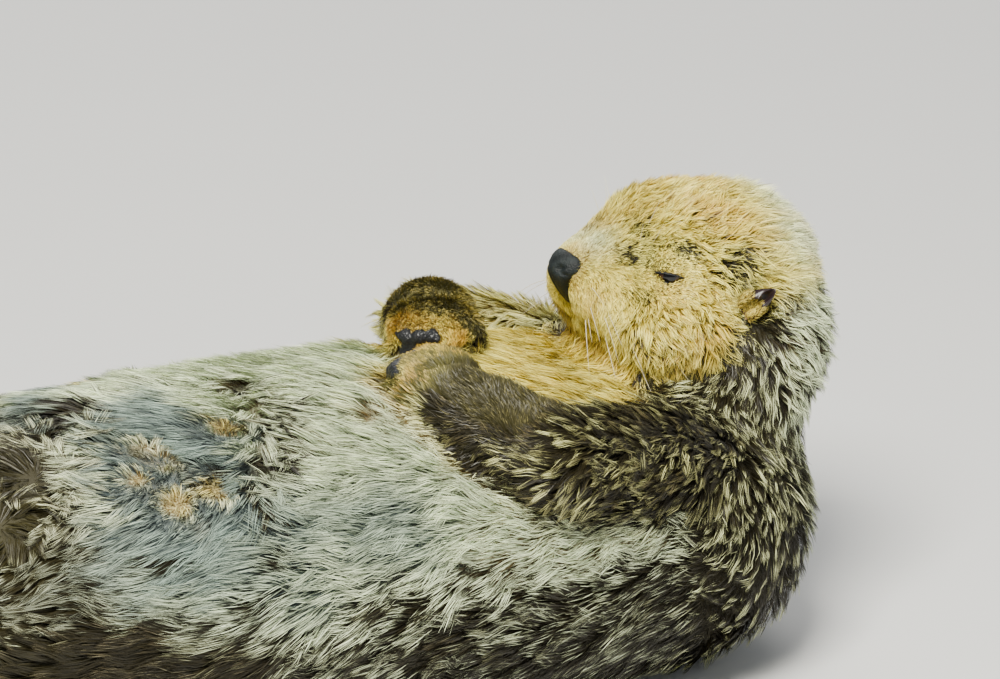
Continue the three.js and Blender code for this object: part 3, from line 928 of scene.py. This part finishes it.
def centre_lines(roots, luck, steps, calm=1.0):
    """The line that each hair follows: it rises from the skin and bends over towards the tail."""
    count = len(roots.place)
    stray = roots.stray * calm
    way = turned(roots.way, roots.normal, luck.normal(0, 0.55, count) * stray)
    length = roots.length * np.clip(luck.normal(1, 0.18, count), 0.55, 1.45)
    height = roots.depth * np.clip(0.88 + luck.normal(0, 1, count) * (0.06 + 0.34 * stray), 0.3, 1.35)
    height = np.minimum(height, 0.85 * length)
    reach = np.sqrt(length**2 - height**2)
    side = np.cross(roots.normal, way)
    curl = luck.normal(0, 0.12, count) * stray * length
    wave = luck.normal(0, 0.07, count) * (0.5 + stray) * length
    lines = []
    for s in steps:
        rise = height * (1.55 * s - 0.55 * s * s) - 0.6 * MM * (s == 0)
        run = reach * s * (0.8 + 0.2 * s)
        bow = curl * math.sin(math.pi * s) + wave * math.sin(2 * math.pi * s)
        lines.append(roots.place + roots.normal * rise[:, None] + way * run[:, None] + side * bow[:, None])
    return np.stack(lines, axis=1), side


def near_guides(places, guides):
    tree = kdtree.KDTree(len(guides))
    for index, place in enumerate(guides):
        tree.insert(place, index)
    tree.balance()
    return np.array([tree.find(place)[1] for place in places])


def unwrapped(places, start, end):
    """Two numbers from 0 to 1: where a place falls on the skin, opened out round a line."""
    axis = unit(end - start)
    first = unit(np.cross(axis, [0.13, 0.31, 0.94]))
    second = np.cross(axis, first)
    along = (places - start) @ axis / np.linalg.norm(end - start)
    angle = np.arctan2((places - start) @ second, (places - start) @ first)
    return np.stack([0.05 + 0.9 * np.clip(along, 0, 1), 0.05 + 0.9 * (angle / (2 * math.pi) + 0.5)], axis=1)


LOCK_REACH = 9 * MM  # hairs farther than this from a guide hardly follow it
OFF_FLOOR = 0.4 * MM
PATCH = 0.003  # the size of one hair on the OFBake map


def grow_hairs(name, pelt, fields, chosen, count, per_lock, segments, spine, finish, slot, seed):
    """One piece of the coat: flat pointed hairs, drawn together in locks."""
    luck = np.random.default_rng(seed)
    steps = np.linspace(0, 1, segments + 1) ** 0.9
    roots = Roots(pelt, fields, chosen, count, luck)
    guides = Roots(pelt, fields, chosen, max(count // per_lock, 8), luck)
    lines, side = centre_lines(roots, luck, steps)
    guide_lines, _ = centre_lines(guides, luck, steps, calm=1.5)
    mine = near_guides(roots.place, guides.place)
    late = 1.35 - 0.7 * roots.locks
    drawn = (roots.locks * luck.uniform(0.8, 1.0, count))[:, None] * steps ** late[:, None]
    drawn[apart(guides.place[mine], roots.place) > LOCK_REACH] *= 0.2
    lines = lines + (guide_lines[mine] - lines) * drawn[:, :, None]
    lines[:, :, 2] = np.maximum(lines[:, :, 2], OFF_FLOOR)

    roll = luck.normal(0, 0.5, count)
    spread_way = side * np.cos(roll)[:, None] + roots.normal * np.sin(roll)[:, None]
    half = roots.width * luck.uniform(0.7, 1.25, count) / 2
    vertices, corners = [], []
    for j in range(segments):
        taper = (1 - 0.75 * (j / segments) ** 1.6) * (0.8 if j == 0 else 1)
        aside = spread_way * (half * taper)[:, None]
        vertices += [lines[:, j] - aside, lines[:, j] + aside]
        a = 2 * j
        corners += [[a, a + 1, a + 3], [a, a + 3, a + 2]] if j < segments - 1 else [[a, a + 1, a + 2]]
    vertices.append(lines[:, segments])
    per_hair = len(vertices)
    places = np.stack(vertices, axis=1).reshape(-1, 3)
    triangles = (np.arange(count)[:, None, None] * per_hair + np.array(corners)).reshape(-1, 3)

    mesh = bpy.data.meshes.new(name)
    mesh.vertices.add(len(places))
    mesh.vertices.foreach_set("co", places.astype(np.float32).ravel())
    mesh.loops.add(len(triangles) * 3)
    mesh.loops.foreach_set("vertex_index", triangles.astype(np.int32).ravel())
    mesh.polygons.add(len(triangles))
    mesh.polygons.foreach_set("loop_start", np.arange(0, len(triangles) * 3, 3, dtype=np.int32))
    mesh.polygons.foreach_set("use_smooth", np.ones(len(triangles), bool))
    mesh.update()

    level = np.array([j / segments for j in range(segments) for _ in range(2)] + [1.0])
    edge = np.array([-1.0, 1.0] * segments + [0.0])
    patch = np.stack([level - 0.5, edge / 2], axis=1) * PATCH
    uv = (unwrapped(roots.place, *spine)[:, None, :] + patch).reshape(-1, 2)[triangles.ravel()]
    layer = mesh.uv_layers.new(name="OFBake")
    layer.data.foreach_set("uv", uv.astype(np.float32).ravel())
    set_marks(mesh, "markings", np.repeat(roots.marks, per_hair, axis=0))
    chance = luck.random(count)
    lock_chance = luck.random(len(guides.place))[mine]
    hair = np.stack([np.zeros(count), chance, lock_chance, np.ones(count)], axis=1).repeat(per_hair, axis=0)
    hair[:, 0] = np.tile(level, count)
    set_marks(mesh, "hair", hair)
    mesh.materials.append(finish.material)
    piece = in_scene(name, mesh)
    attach(piece, "root")


# ---------------------------------------------------------------- finishes
CREAM = (0.7, 0.58, 0.14)
CREAM_TIP = (1.0, 0.93, 0.33)
SILVER = (0.49, 0.57, 0.39)
SILVER_TIP = (0.9, 0.98, 0.7)
SLATE = (0.115, 0.145, 0.138)
SLATE_TIP = (0.34, 0.43, 0.37)
SLATE_DEEP = (0.06, 0.08, 0.08)
ORANGE = (0.6, 0.33, 0.09)
TAN = (0.16, 0.1, 0.03)
UMBER = (0.02, 0.0165, 0.007)
BARK = (0.12, 0.112, 0.04)
OLIVE = (0.135, 0.122, 0.046)
HAZEL = (0.085, 0.058, 0.03)
RUST = (0.3, 0.17, 0.045)
BARE = (0.012, 0.013, 0.015)


def coat_colours(finish, dark, silver, warm, olive=1.0):
    """The colours of the hairs' dark lower part, pale upper part and tips.
    Silver runs from cream at 0 over silver at a half to slate at 1.
    """
    deep = finish.mixed(silver.eased(0.35, 0.8), TAN, SLATE_DEEP)
    darkest = finish.mixed(warm.eased(0.15, 0.5), UMBER, BARK)
    deep = finish.mixed((dark - 0.2 * silver).eased(0.22, 0.6), deep, darkest)
    grizzle = finish.mixed(dark.eased(0.88, 0.97) * (1 - warm.eased(0.205, 0.3)), OLIVE, HAZEL)
    grizzle = finish.mixed(warm.eased(0.35, 0.8), grizzle, RUST)
    upper = []
    for cream, silvery, slaty, start, end in (
        (CREAM, SILVER, SLATE, 0.55, 0.9),
        (CREAM_TIP, SILVER_TIP, SLATE_TIP, 0.68, 0.98),
    ):
        colour = finish.mixed(silver.eased(0.0, 0.55), cream, silvery)
        colour = finish.mixed(silver.eased(0.6, 1.0), colour, slaty)
        colour = finish.mixed(warm * 0.75, colour, ORANGE)
        upper.append(finish.mixed(dark.eased(start, end) * 0.94 * olive, colour, grizzle))
    return deep, *upper


def hair_finish():
    finish = Finish("coat", roughness=0.42, specular_ior_level=0.36, sheen_weight=0.05, sheen_roughness=0.4)
    dark, silver, warm, _ = finish.marks("markings")
    along, chance, lock, _ = finish.marks("hair")
    warm = warm + 0.5 * chance.eased(0.84, 0.95) * (1 - silver.eased(0.15, 0.45)) * (1 - dark.eased(0.5, 0.8))
    speckled = 1 - 0.8 * chance.eased(0.78, 0.95) * (1 - 0.9 * dark.eased(0.84, 0.92))
    deep, pale, tip = coat_colours(finish, dark, silver, warm, speckled)
    place = along + (chance - 0.5) * 0.42 + (lock - 0.5) * (0.2 + 0.25 * dark)
    turn = dark * 1.04 - 0.06 + 0.06 * dark.eased(0.7, 0.85)
    rise = ((place - turn) * 3.6 + 0.5).eased(0.0, 1.0) * (chance - 0.3 * dark).eased(0.0, 0.15)
    colour = finish.mixed(rise, deep, finish.mixed(place.eased(0.35, 1.0), pale, tip))
    shade = 0.66 + 0.38 * chance + 0.28 * lock
    tone = finish.node("ShaderNodeHueSaturation", {}, {"Value": shade, "Color": colour, "Saturation": 1.15})
    finish.feed("Base Color", tone)
    return finish


def skin_finish():
    finish = Finish("skin", roughness=0.62, specular_ior_level=0.35)
    dark, silver, warm, bare = finish.marks("markings")
    deep, pale, _ = coat_colours(finish, dark, silver, warm)
    strands = finish.noise(900, 3).eased(0.35, 0.7)
    coat = finish.mixed(strands * (0.75 - 0.7 * dark.eased(0.3, 0.85)), deep, pale)
    grains = finish.grains(700)
    finish.feed("Base Color", finish.mixed(bare.eased(0.35, 0.6), coat, BARE))
    finish.feed("Roughness", 0.7 - 0.3 * bare)
    finish.raise_by(grains * bare.eased(0.7, 0.95) + strands * (1 - bare) * 0.6, 0.5 * MM, 0.8)
    return finish


def nose_finish():
    finish = Finish("nose leather", roughness=0.5, specular_ior_level=0.26)
    cloud = finish.noise(160, 4)
    colour = finish.mixed(cloud.eased(0.35, 0.7), (0.005, 0.0075, 0.008), (0.017, 0.023, 0.024))
    finish.feed("Base Color", colour)
    finish.feed("Roughness", 0.48 + 0.25 * cloud)
    finish.raise_by(finish.grains(900), 0.35 * MM, 0.8)
    return finish


def eye_finish():
    finish = Finish("eye", roughness=0.12, specular_ior_level=0.3, coat_weight=0.3, coat_roughness=0.04)
    ring, radial, _, _ = finish.marks("iris")
    iris = finish.mixed(finish.noise(1500, 2) * radial, (0.012, 0.006, 0.003), (0.06, 0.028, 0.012))
    white = finish.mixed(ring.eased(0.66, 0.74), iris, (0.05, 0.03, 0.022))
    finish.feed("Base Color", finish.mixed(ring.eased(0.3, 0.36), (0.002, 0.002, 0.002), white))
    return finish


def horn_finish():
    finish = Finish("claw horn", roughness=0.45, specular_ior_level=0.3)
    bands = finish.noise(500, 3)
    finish.feed("Base Color", finish.mixed(bands, (0.012, 0.009, 0.007), (0.07, 0.05, 0.035)))
    finish.raise_by(bands, 0.2 * MM, 0.4)
    return finish


def whisker_finish():
    finish = Finish("whisker", roughness=0.3, specular_ior_level=0.5)
    finish.feed("Base Color", finish.mixed(finish.noise(300, 2), (0.75, 0.66, 0.42), (0.95, 0.9, 0.72)))
    return finish


def ear_finish():
    finish = Finish("ear skin", roughness=0.42, specular_ior_level=0.5)
    inside, rim, _, _ = finish.marks("ear")
    hairs = finish.noise(700, 3)
    colour = finish.mixed(hairs.eased(0.35, 0.65), (0.12, 0.06, 0.028), (0.46, 0.3, 0.14))
    # Painted shade: the inner wall of the ear's cup is darker.
    colour = finish.mixed(inside * 0.5, colour, (0.1, 0.045, 0.026))
    finish.feed("Base Color", finish.mixed(rim, colour, (0.022, 0.013, 0.014)))
    finish.feed("Roughness", 0.6 - 0.28 * rim)
    finish.raise_by(hairs, 0.4 * MM, 0.6)
    return finish


def floor_finish():
    finish = Finish("floor", roughness=0.75, specular_ior_level=0.2)
    finish.feed("Base Color", finish.mixed(finish.noise(3, 2), (0.74, 0.74, 0.73), (0.78, 0.78, 0.77)))
    return finish


# ---------------------------------------------------------------- eyes, nose, ears, claws, whiskers
def finished(piece, finish, slot, *nodes):
    piece.data.materials.clear()
    piece.data.materials.append(finish.material)
    smooth_shaded(piece)
    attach(piece, "root")
    if nodes:
        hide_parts(*nodes)


def shell(name, places, rows, columns):
    """Two grids of places, one behind the other, joined round their edges."""
    width = columns + 1
    layer = (rows + 1) * width
    faces = []
    for i in range(rows):
        for j in range(columns):
            a = i * width + j
            faces.append((a, a + 1, a + width + 1, a + width))
            faces.append((layer + a, layer + a + width, layer + a + width + 1, layer + a + 1))
    piece = new_object(name, places, faces)
    work = bmesh.new()
    work.from_mesh(piece.data)
    bmesh.ops.bridge_loops(work, edges=[edge for edge in work.edges if edge.is_boundary])
    bmesh.ops.recalc_face_normals(work, faces=work.faces)
    work.to_mesh(piece.data)
    work.free()
    return piece


def make_eye(side, finish):
    """An eyeball with a bulging cornea over a dark iris, looking out and a little ahead."""
    rings, segments = 28, 40
    gaze = unit(np.array([0, SIDES[side], 0]) + 0.45 * FORWARD)
    first = unit(np.cross(gaze, CROWNWARD))
    second = np.cross(gaze, first)
    radius = EYE_RADIUS * 0.995
    vertices, faces, marks = [], [], []
    for i in range(rings + 1):
        polar = math.pi * i / rings
        swell = 1 + 0.05 * bump(polar, 0.5)
        for j in range(segments):
            angle = 2 * math.pi * j / segments
            across = math.sin(polar) * (math.cos(angle) * first + math.sin(angle) * second)
            vertices.append(EYE_CENTRE[side] + radius * swell * (math.cos(polar) * gaze + across))
            marks.append((polar / 1.25, bump(polar - 0.5, 0.3), 0, 1))
    for i in range(rings):
        for j in range(segments):
            a, b = i * segments + j, i * segments + (j + 1) % segments
            faces.append((a, a + segments, b + segments, b))
    piece = new_object("eyeball_" + side, vertices, faces)
    set_marks(piece.data, "iris", marks)
    finished(piece, finish, "eye_gloss", "eye_" + side)


def pad_point(a, t):
    """A place on the nose pad's front: a runs across it from -1 to 1, t from 0 at its top to 1 at the lip."""
    y = a * pad_half(t)
    front = PAD["tip"] - 5.8 * max(1 - t / 0.38, 0) ** 2 - 18.8 * max((t - 0.38) / 0.62, 0) ** 1.5
    nostril = bump(math.hypot((abs(y) - 6.6) / 2.3, (t - 0.4 + 0.012 * abs(y)) / 0.07), 1.0)
    slit = bump(math.hypot((abs(y) - 9.4) / 2.6, (t - 0.4) / 0.035), 1.0)
    groove = bump(y, 0.8) * ease(0.35, 0.6, t)
    dent = 2.6 * nostril + 1.2 * slit + 0.8 * groove
    return np.array([front - y * y / 24 - dent, y, PAD["top"] - PAD["tall"] * t])


def make_nose(finish):
    """A shield that narrows to the lip, with a comma-shaped nostril in each wing and a groove below."""
    rows, columns = 60, 60
    inward = np.array([-5.5, 0, -1.0])
    places = []
    for share in (0.28, 1.0):
        for i in range(rows + 1):
            for j in range(columns + 1):
                t, a = i / rows, 2 * j / columns - 1
                inside = math.sqrt(max(1 - abs(a) ** 6, 0)) * math.sqrt(max(1 - abs(2 * t - 1) ** 12, 0))
                sunk = share if share == 1 else share * (1 - inside)
                places.append(pad_point(a, t) + inward * sunk)
    finished(shell("nose_pad", from_head(places), rows, columns), finish, "nose_skin", "nose")


EAR_BASE = np.array([-5.5, 62.5, -3.5])
EAR_AXIS = unit(np.array([-0.42, 0.36, 0.84]))  # from the lobe to the tip
EAR_OPEN = unit(np.array([0.62, 0.78, 0.0]) - EAR_AXIS * float(EAR_AXIS @ [0.62, 0.78, 0.0]))
EAR_SIDE = np.cross(EAR_AXIS, EAR_OPEN)


def make_ear(side, finish, hair):
    """A small cone of skin with a thick rolled rim, open outwards and ahead, and short hair up to the rim."""
    rows, columns = 34, 44
    mirror = np.array([1, -SIDES[side], 1])
    places, marks = [], []
    for outer in (1, 0):
        for i in range(rows + 1):
            u = i / rows
            for j in range(columns + 1):
                angle = (2 * j / columns - 1) * math.radians(128)
                height = 24.5 * (1 - 0.6 * (1 - math.cos(angle * 0.9)) / 2)
                radius = 6.6 * math.sin(math.pi * (0.22 + 0.68 * u)) ** 0.8
                wall = 1.6 - 0.4 * u + 0.8 * bump(u - 0.9, 0.12)
                radius += (outer - 0.5) * wall * math.sqrt(max(1 - u**14, 0))
                back = -0.72 * math.cos(angle) * radius + 1.6 * ease(0.7, 1.0, u) * u
                aside = math.sin(angle) * radius * (1 - 0.12 * math.sin(angle))
                fold = 0.7 * bump(u - 0.42, 0.12) * (1 - outer) * math.cos(angle)
                place = EAR_BASE + EAR_AXIS * height * u + EAR_OPEN * (back + fold)
                places.append((place + EAR_SIDE * (aside + 1.8 * u * u)) * mirror)
                marks.append((1.0 - outer, float(ease(0.46, 0.6, u + 0.04 * math.sin(9 * angle))), u, 1))
    piece = shell("ear_shell_" + side, from_head(places), rows, columns)
    set_marks(piece.data, "ear", marks)
    finished(piece, finish, "brown_coat", "ear_" + side)

    pelt = Pelt(piece)
    count = len(pelt.places)
    up_ear = (in_head(pelt.places) * mirror - EAR_BASE) @ EAR_AXIS / 23.5
    lie = np.tile(EAR_AXIS * mirror @ HEAD_AXES, (count, 1))
    lie = unit(lie - pelt.normals * dot(lie, pelt.normals)[:, None])
    fields = {"lie": lie, "marks": np.tile([0.42, 0.1, 0.3, 0.0], (count, 1))}
    sizes = (1.3 * MM, 4.2 * MM, 0.5 * MM, 0.3, 0.5)
    fields.update((key, np.full(count, value)) for key, value in zip(COAT_KEYS, sizes))
    spine = (from_head([-5, -60 * SIDES[side], -5]), from_head([-15, -72 * SIDES[side], 18]))
    below_rim = ease(0.5, 0.4, up_ear)
    seed = 60 + SIDES[side]
    grow_hairs("coat_ear_" + side, pelt, fields, below_rim, 2600, 8, 2, spine, hair, "brown_coat", seed)


def tapering_tube(line, radii, segments):
    """Rings round a line of points, closed to a point at both ends."""
    line = np.asarray(line, float)
    ways = unit(np.gradient(line, axis=0))
    side = unit(np.cross(ways, [0.21, 0.43, 0.88]))
    up = np.cross(ways, side)
    angles = np.linspace(0, 2 * math.pi, segments, endpoint=False)
    rings = [
        place + radius * (np.cos(angles)[:, None] * a + np.sin(angles)[:, None] * b)
        for place, radius, a, b in zip(line, radii, side, up)
    ]
    vertices = np.concatenate([*rings, line[:1], line[-1:]])
    faces = []
    for i in range(len(line) - 1):
        for j in range(segments):
            a, b = i * segments + j, i * segments + (j + 1) % segments
            faces.append((a, b, b + segments, a + segments))
    start, end = len(vertices) - 2, len(vertices) - 1
    last = (len(line) - 1) * segments
    for j in range(segments):
        faces.append((start, (j + 1) % segments, j))
        faces.append((end, last + j, last + (j + 1) % segments))
    return vertices, faces


def joined(name, shapes):
    vertices, faces, base = [], [], 0
    for places, corners in shapes:
        vertices.append(places)
        faces += [tuple(c + base for c in corner) for corner in corners]
        base += len(places)
    return new_object(name, np.concatenate(vertices), faces)


def make_claws(side, finish):
    """Five short curved claws, rooted in the toes."""
    nodes = [f"claw_{side}_{toe}" for toe in range(1, 6)]
    toeward = toe_way(side)
    shapes = []
    for node in nodes:
        centre = middle(node)
        line, radii = [], []
        for i in range(9):
            u = i / 8
            bend = np.array([1.0, 0, 0.2]) * 2.4 * MM * u * u
            line.append(centre + toeward * (-7 + 12 * u) * MM + bend)
            radii.append(2.3 * MM * (1 - u**1.6) ** 0.8 + 0.15 * MM)
        shapes.append(tapering_tube(line, radii, 12))
    finished(joined("claws_" + side, shapes), finish, "claw_horn", *nodes)


def make_whiskers(finish, seed=5):
    """Stiff pale whiskers: rows on each pad that sweep back and droop, and a few over each eye."""
    luck = np.random.default_rng(seed)
    shapes = []
    for sign in (1, -1):
        for row in range(4):
            for step in range(5):
                root = np.array([70 - 5.5 * step - 1.5 * row, 9 + 3.9 * step, -12 - 4.2 * row + 0.6 * step])
                length = luck.uniform(34, 62) * (0.75 + 0.09 * step)
                way = unit(np.array([0.35 - 0.22 * step, 0.72, 0.12 - 0.16 * row]) + luck.normal(0, 0.09, 3))
                shapes.append(whisker(root, way, length, luck.uniform(0.25, 0.6), 0.34, sign))
        for root in ([47, 20, 27], [44, 27, 22], [50, 23, 20]):
            way = unit(np.array([0.15, 0.6, 0.9]) + luck.normal(0, 0.15, 3))
            shapes.append(whisker(np.array(root, float), way, luck.uniform(16, 26), -0.1, 0.22, sign))
    finished(joined("whiskers", shapes), finish, "cream_coat")


def whisker(root, way, length, droop, radius, sign):
    steps = np.linspace(0, 1, 9)
    fall = np.array([-0.5, 0, -1.0]) * droop
    line = root + np.outer(steps * length, way) + np.outer(steps**2 * length, fall)
    line[:, 1] *= sign
    return tapering_tube(from_head(line), radius * MM * (1 - 0.85 * steps), 5)


# ---------------------------------------------------------------- the coat's pieces
def coat_fields(hide):
    """All that a hair takes from the place of its root: its size in metres, locks, lie and markings."""
    head = in_head(hide.places)
    share = hide.share
    fields = {key: hide.mixed(key) for key in COAT_KEYS}

    def change(amount, **values):
        for key, value in values.items():
            fields[key] = blend(fields[key], value, amount)

    on_head = share("head")
    from_nose = apart(head, MUZZLE_TIP)
    _, _, from_ball, _, _ = from_eye(head)
    short = 2.6 + 9 * ease(10, 62, from_nose) + 9 * ease(80, 125, from_nose) + 4 * ease(-10, -40, head[:, 2])
    short = blend(short, 2.4, ease(25, 13, from_ball))
    short += 2.5 * ease(30, 44, head[:, 2]) * ease(50, 20, head[:, 0])
    change(on_head, length=short, depth=0.8 + 6.2 * ease(8, 70, from_nose) + 5.5 * ease(80, 125, from_nose))
    change(on_head, width=0.4 + 0.26 * ease(20, 80, from_nose), locks=0.3 + 0.5 * ease(25, 70, from_nose))
    change(on_head * ease(23, 14, from_ball), depth=0.9)
    change(on_head * ease(22, 14, from_ball), locks=0.15)
    body = in_body(hide.places)
    on_top = (body[:, 2] > 120) * share(*TRUNK)
    for x, y, radius, _, _, darker, tan in WHORLS:
        gap = np.hypot(body[:, 0] - x, body[:, 1] - y)
        change(tan * np.clip(2 * bump(gap, 1.7 * radius), 0, 1) * on_top, length=8, depth=6.5)
        change(np.clip(2 * darker * bump(gap, radius) * on_top, 0, 1), locks=0.97)
    change(share("belly") * ease(-400, -470, body[:, 0]), locks=0.92)
    by_ear = ease(20, 9, apart(mirrored(head), EAR_ROOT))
    change(by_ear, length=np.minimum(fields["length"], 6), depth=np.minimum(fields["depth"], 2.5))
    change(share("forearm") * ease(0.05, 0.5, hide.normals[:, 2]), length=10, depth=5.5, locks=0.2)
    change(ease(14, 9, by_pads(hide.places)[1]), length=3.5, depth=2)
    on_floor = hide.places[:, 2] < 12 * MM
    fields["depth"] = np.where(on_floor, np.minimum(fields["depth"], 3), fields["depth"])
    for key in ("length", "width", "depth"):
        fields[key] = fields[key] * MM
    fields["lie"] = lie_of_coat(hide)
    fields["marks"] = markings(hide)
    return fields


def make_coat(hide, fields, finish):
    """The pieces of the coat, each from one region of the skin."""
    head = in_head(hide.places)
    height = hide.places[:, 2]
    share = hide.share
    hairy = np.clip(1 - 2 * fields["marks"][:, 3], 0, 1)
    hairy *= ease(-0.6, 1.0, outside_pad(head))
    hairy *= blend(1, 0.35, ease(10 * MM, 3 * MM, height))
    hairy *= ease(3.5, 6.5, np.linalg.norm((mirrored(head) - [-8, 64, 6]) * [1, 0.4, 0.7], axis=1))
    fine = 1 / np.maximum(fields["width"] * fields["length"] / (8 * MM * MM), 0.35)
    face = ease(-8, 8, head[:, 0])
    upper, lower = ease(0.02, 0.08, height), ease(0.08, 0.02, height)

    # The lines that the coat is unwrapped round.
    by_head = (from_head([-90, 0, 0]), from_head([100, 0, 0]))
    by_neck = (np.array([BODY_START - 0.09, 0, 0.11]), np.array([BODY_START + 0.1, 0, 0.16]))
    by_trunk = (np.array([-0.56, 0, 0.09]), np.array([0.5, 0, 0.09]))
    by_tail = (np.array([-0.56, 0, 0.03]), np.array([-0.2, 0, 0.05]))
    # name, where, hairs, hairs to a lock, segments to a hair, line, finish slot
    plan = [
        ("face", share("head") * face * fine, 62000, 11, 2, by_head, "cream_coat"),
        ("crown", share("head") * (1 - face), 38000, 14, 2, by_head, "cream_coat"),
        ("nape", share("neck") * ease(0.09, 0.12, height), 35000, 13, 3, by_neck, "grizzled_coat"),
        ("shoulders", share("neck") * ease(0.12, 0.09, height), 12000, 16, 3, by_neck, "grizzled_coat"),
        ("chest", share("chest") * upper, 53000, 16, 2, by_trunk, "cream_coat"),
        ("belly", share("belly") * upper, 60000, 18, 2, by_trunk, "silver_coat"),
        ("back", share("belly", "chest") * lower, 12000, 14, 2, by_trunk, "brown_coat"),
        ("hips", share("hips"), 27000, 16, 2, by_trunk, "brown_coat"),
        ("tail", share("tail"), 13000, 14, 2, by_tail, "brown_coat"),
    ]
    for side, arm_hairs in (("left", 36000), ("right", 17000)):
        arm, fore, paw, thigh, shank, foot = (
            share(f"{part}_{side}") for part in ("upper_arm", "forearm", "paw", "thigh", "shank", "foot")
        )
        by_arm = (middle("forepaw_" + side), middle("upper_arm_" + side) + [0.06, 0, -0.01])
        by_leg = (middle("shank_" + side) - [0.05, 0, 0], middle("thigh_" + side) + [0.1, 0, 0])
        heel = np.array(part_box("hind_foot_" + side)[0])
        by_foot = (heel, middle("hind_foot_" + side) * 2 - heel)
        plan += [
            ("arm_" + side, arm + fore, arm_hairs, 15, 3, by_arm, "olive_coat"),
            ("paw_" + side, paw, 11000, 8, 2, by_arm, "olive_coat"),
            ("leg_" + side, thigh + shank, 9000, 14, 2, by_leg, "brown_coat"),
            ("foot_" + side, foot, 9000, 6, 2, by_foot, "brown_coat"),
        ]
    for index, (name, where, count, per_lock, segments, spine, slot) in enumerate(plan):
        chosen = where * hairy * (where > 0.02)
        seed = 100 + index
        grow_hairs("coat_" + name, hide, fields, chosen, count, per_lock, segments, spine, finish, slot, seed)


# ---------------------------------------------------------------- stage
def make_stage():
    floor = new_object("floor", [(-6, -6, 0), (6, -6, 0), (6, 9, 0), (-6, 9, 0)], [(0, 1, 2, 3)])
    floor.data.materials.append(floor_finish().material)
    world = bpy.data.worlds.new("studio")
    bpy.context.scene.world = world
    world.use_nodes = True
    world.node_tree.nodes["Background"].inputs["Color"].default_value = (0.94, 0.97, 1, 1)
    world.node_tree.nodes["Background"].inputs["Strength"].default_value = 0.34
    aim = Vector((BODY_START - 0.1, 0, 0.12))
    for name, place, size, power, colour in (
        ("key", (-0.9, -1.1, 2.0), 0.9, 140, (1, 0.97, 0.87)),
        ("fill", (1.6, -1.9, 1.1), 2.0, 9, (0.9, 0.96, 1)),
        ("back", (0.6, 1.8, 1.7), 1.4, 30, (1, 0.98, 0.94)),
    ):
        lamp = bpy.data.lights.new(name, "AREA")
        lamp.energy, lamp.size, lamp.color = power, size, colour
        light = bpy.data.objects.new(name, lamp)
        light.location = Vector(place) + aim
        light.rotation_euler = (-Vector(place)).to_track_quat("-Z", "Y").to_euler()
        bpy.context.scene.collection.objects.link(light)


def make_camera():
    lens = bpy.data.cameras.new("camera")
    lens.lens, lens.sensor_width, lens.clip_end = CAMERA_LENS, 36, 50
    camera = bpy.data.objects.new("camera", lens)
    level = math.cos(CAMERA_RISE)
    back = Vector((math.sin(CAMERA_TURN) * level, -math.cos(CAMERA_TURN) * level, math.sin(CAMERA_RISE)))
    camera.location = Vector(BETWEEN_EYES + CAMERA_AIM) + back * CAMERA_AWAY
    camera.rotation_euler = back.to_track_quat("Z", "Y").to_euler()
    bpy.context.scene.collection.objects.link(camera)
    bpy.context.scene.camera = camera


# ---------------------------------------------------------------- build
make_camera()
make_stage()
hide = make_skin()
fields = coat_fields(hide)
set_marks(hide.piece.data, "markings", fields["marks"])
shape_pads(hide, fields["marks"][:, 3])
finished(hide.piece, skin_finish(), "cream_coat", *PARTS.values())
eye_look, nose_look, ear_look, horn_look = eye_finish(), nose_finish(), ear_finish(), horn_finish()
hair_look = hair_finish()
for side in SIDES:
    make_eye(side, eye_look)
    make_ear(side, ear_look, hair_look)
    make_claws(side, horn_look)
make_nose(nose_look)
make_whiskers(whisker_finish())
make_coat(hide, fields, hair_look)
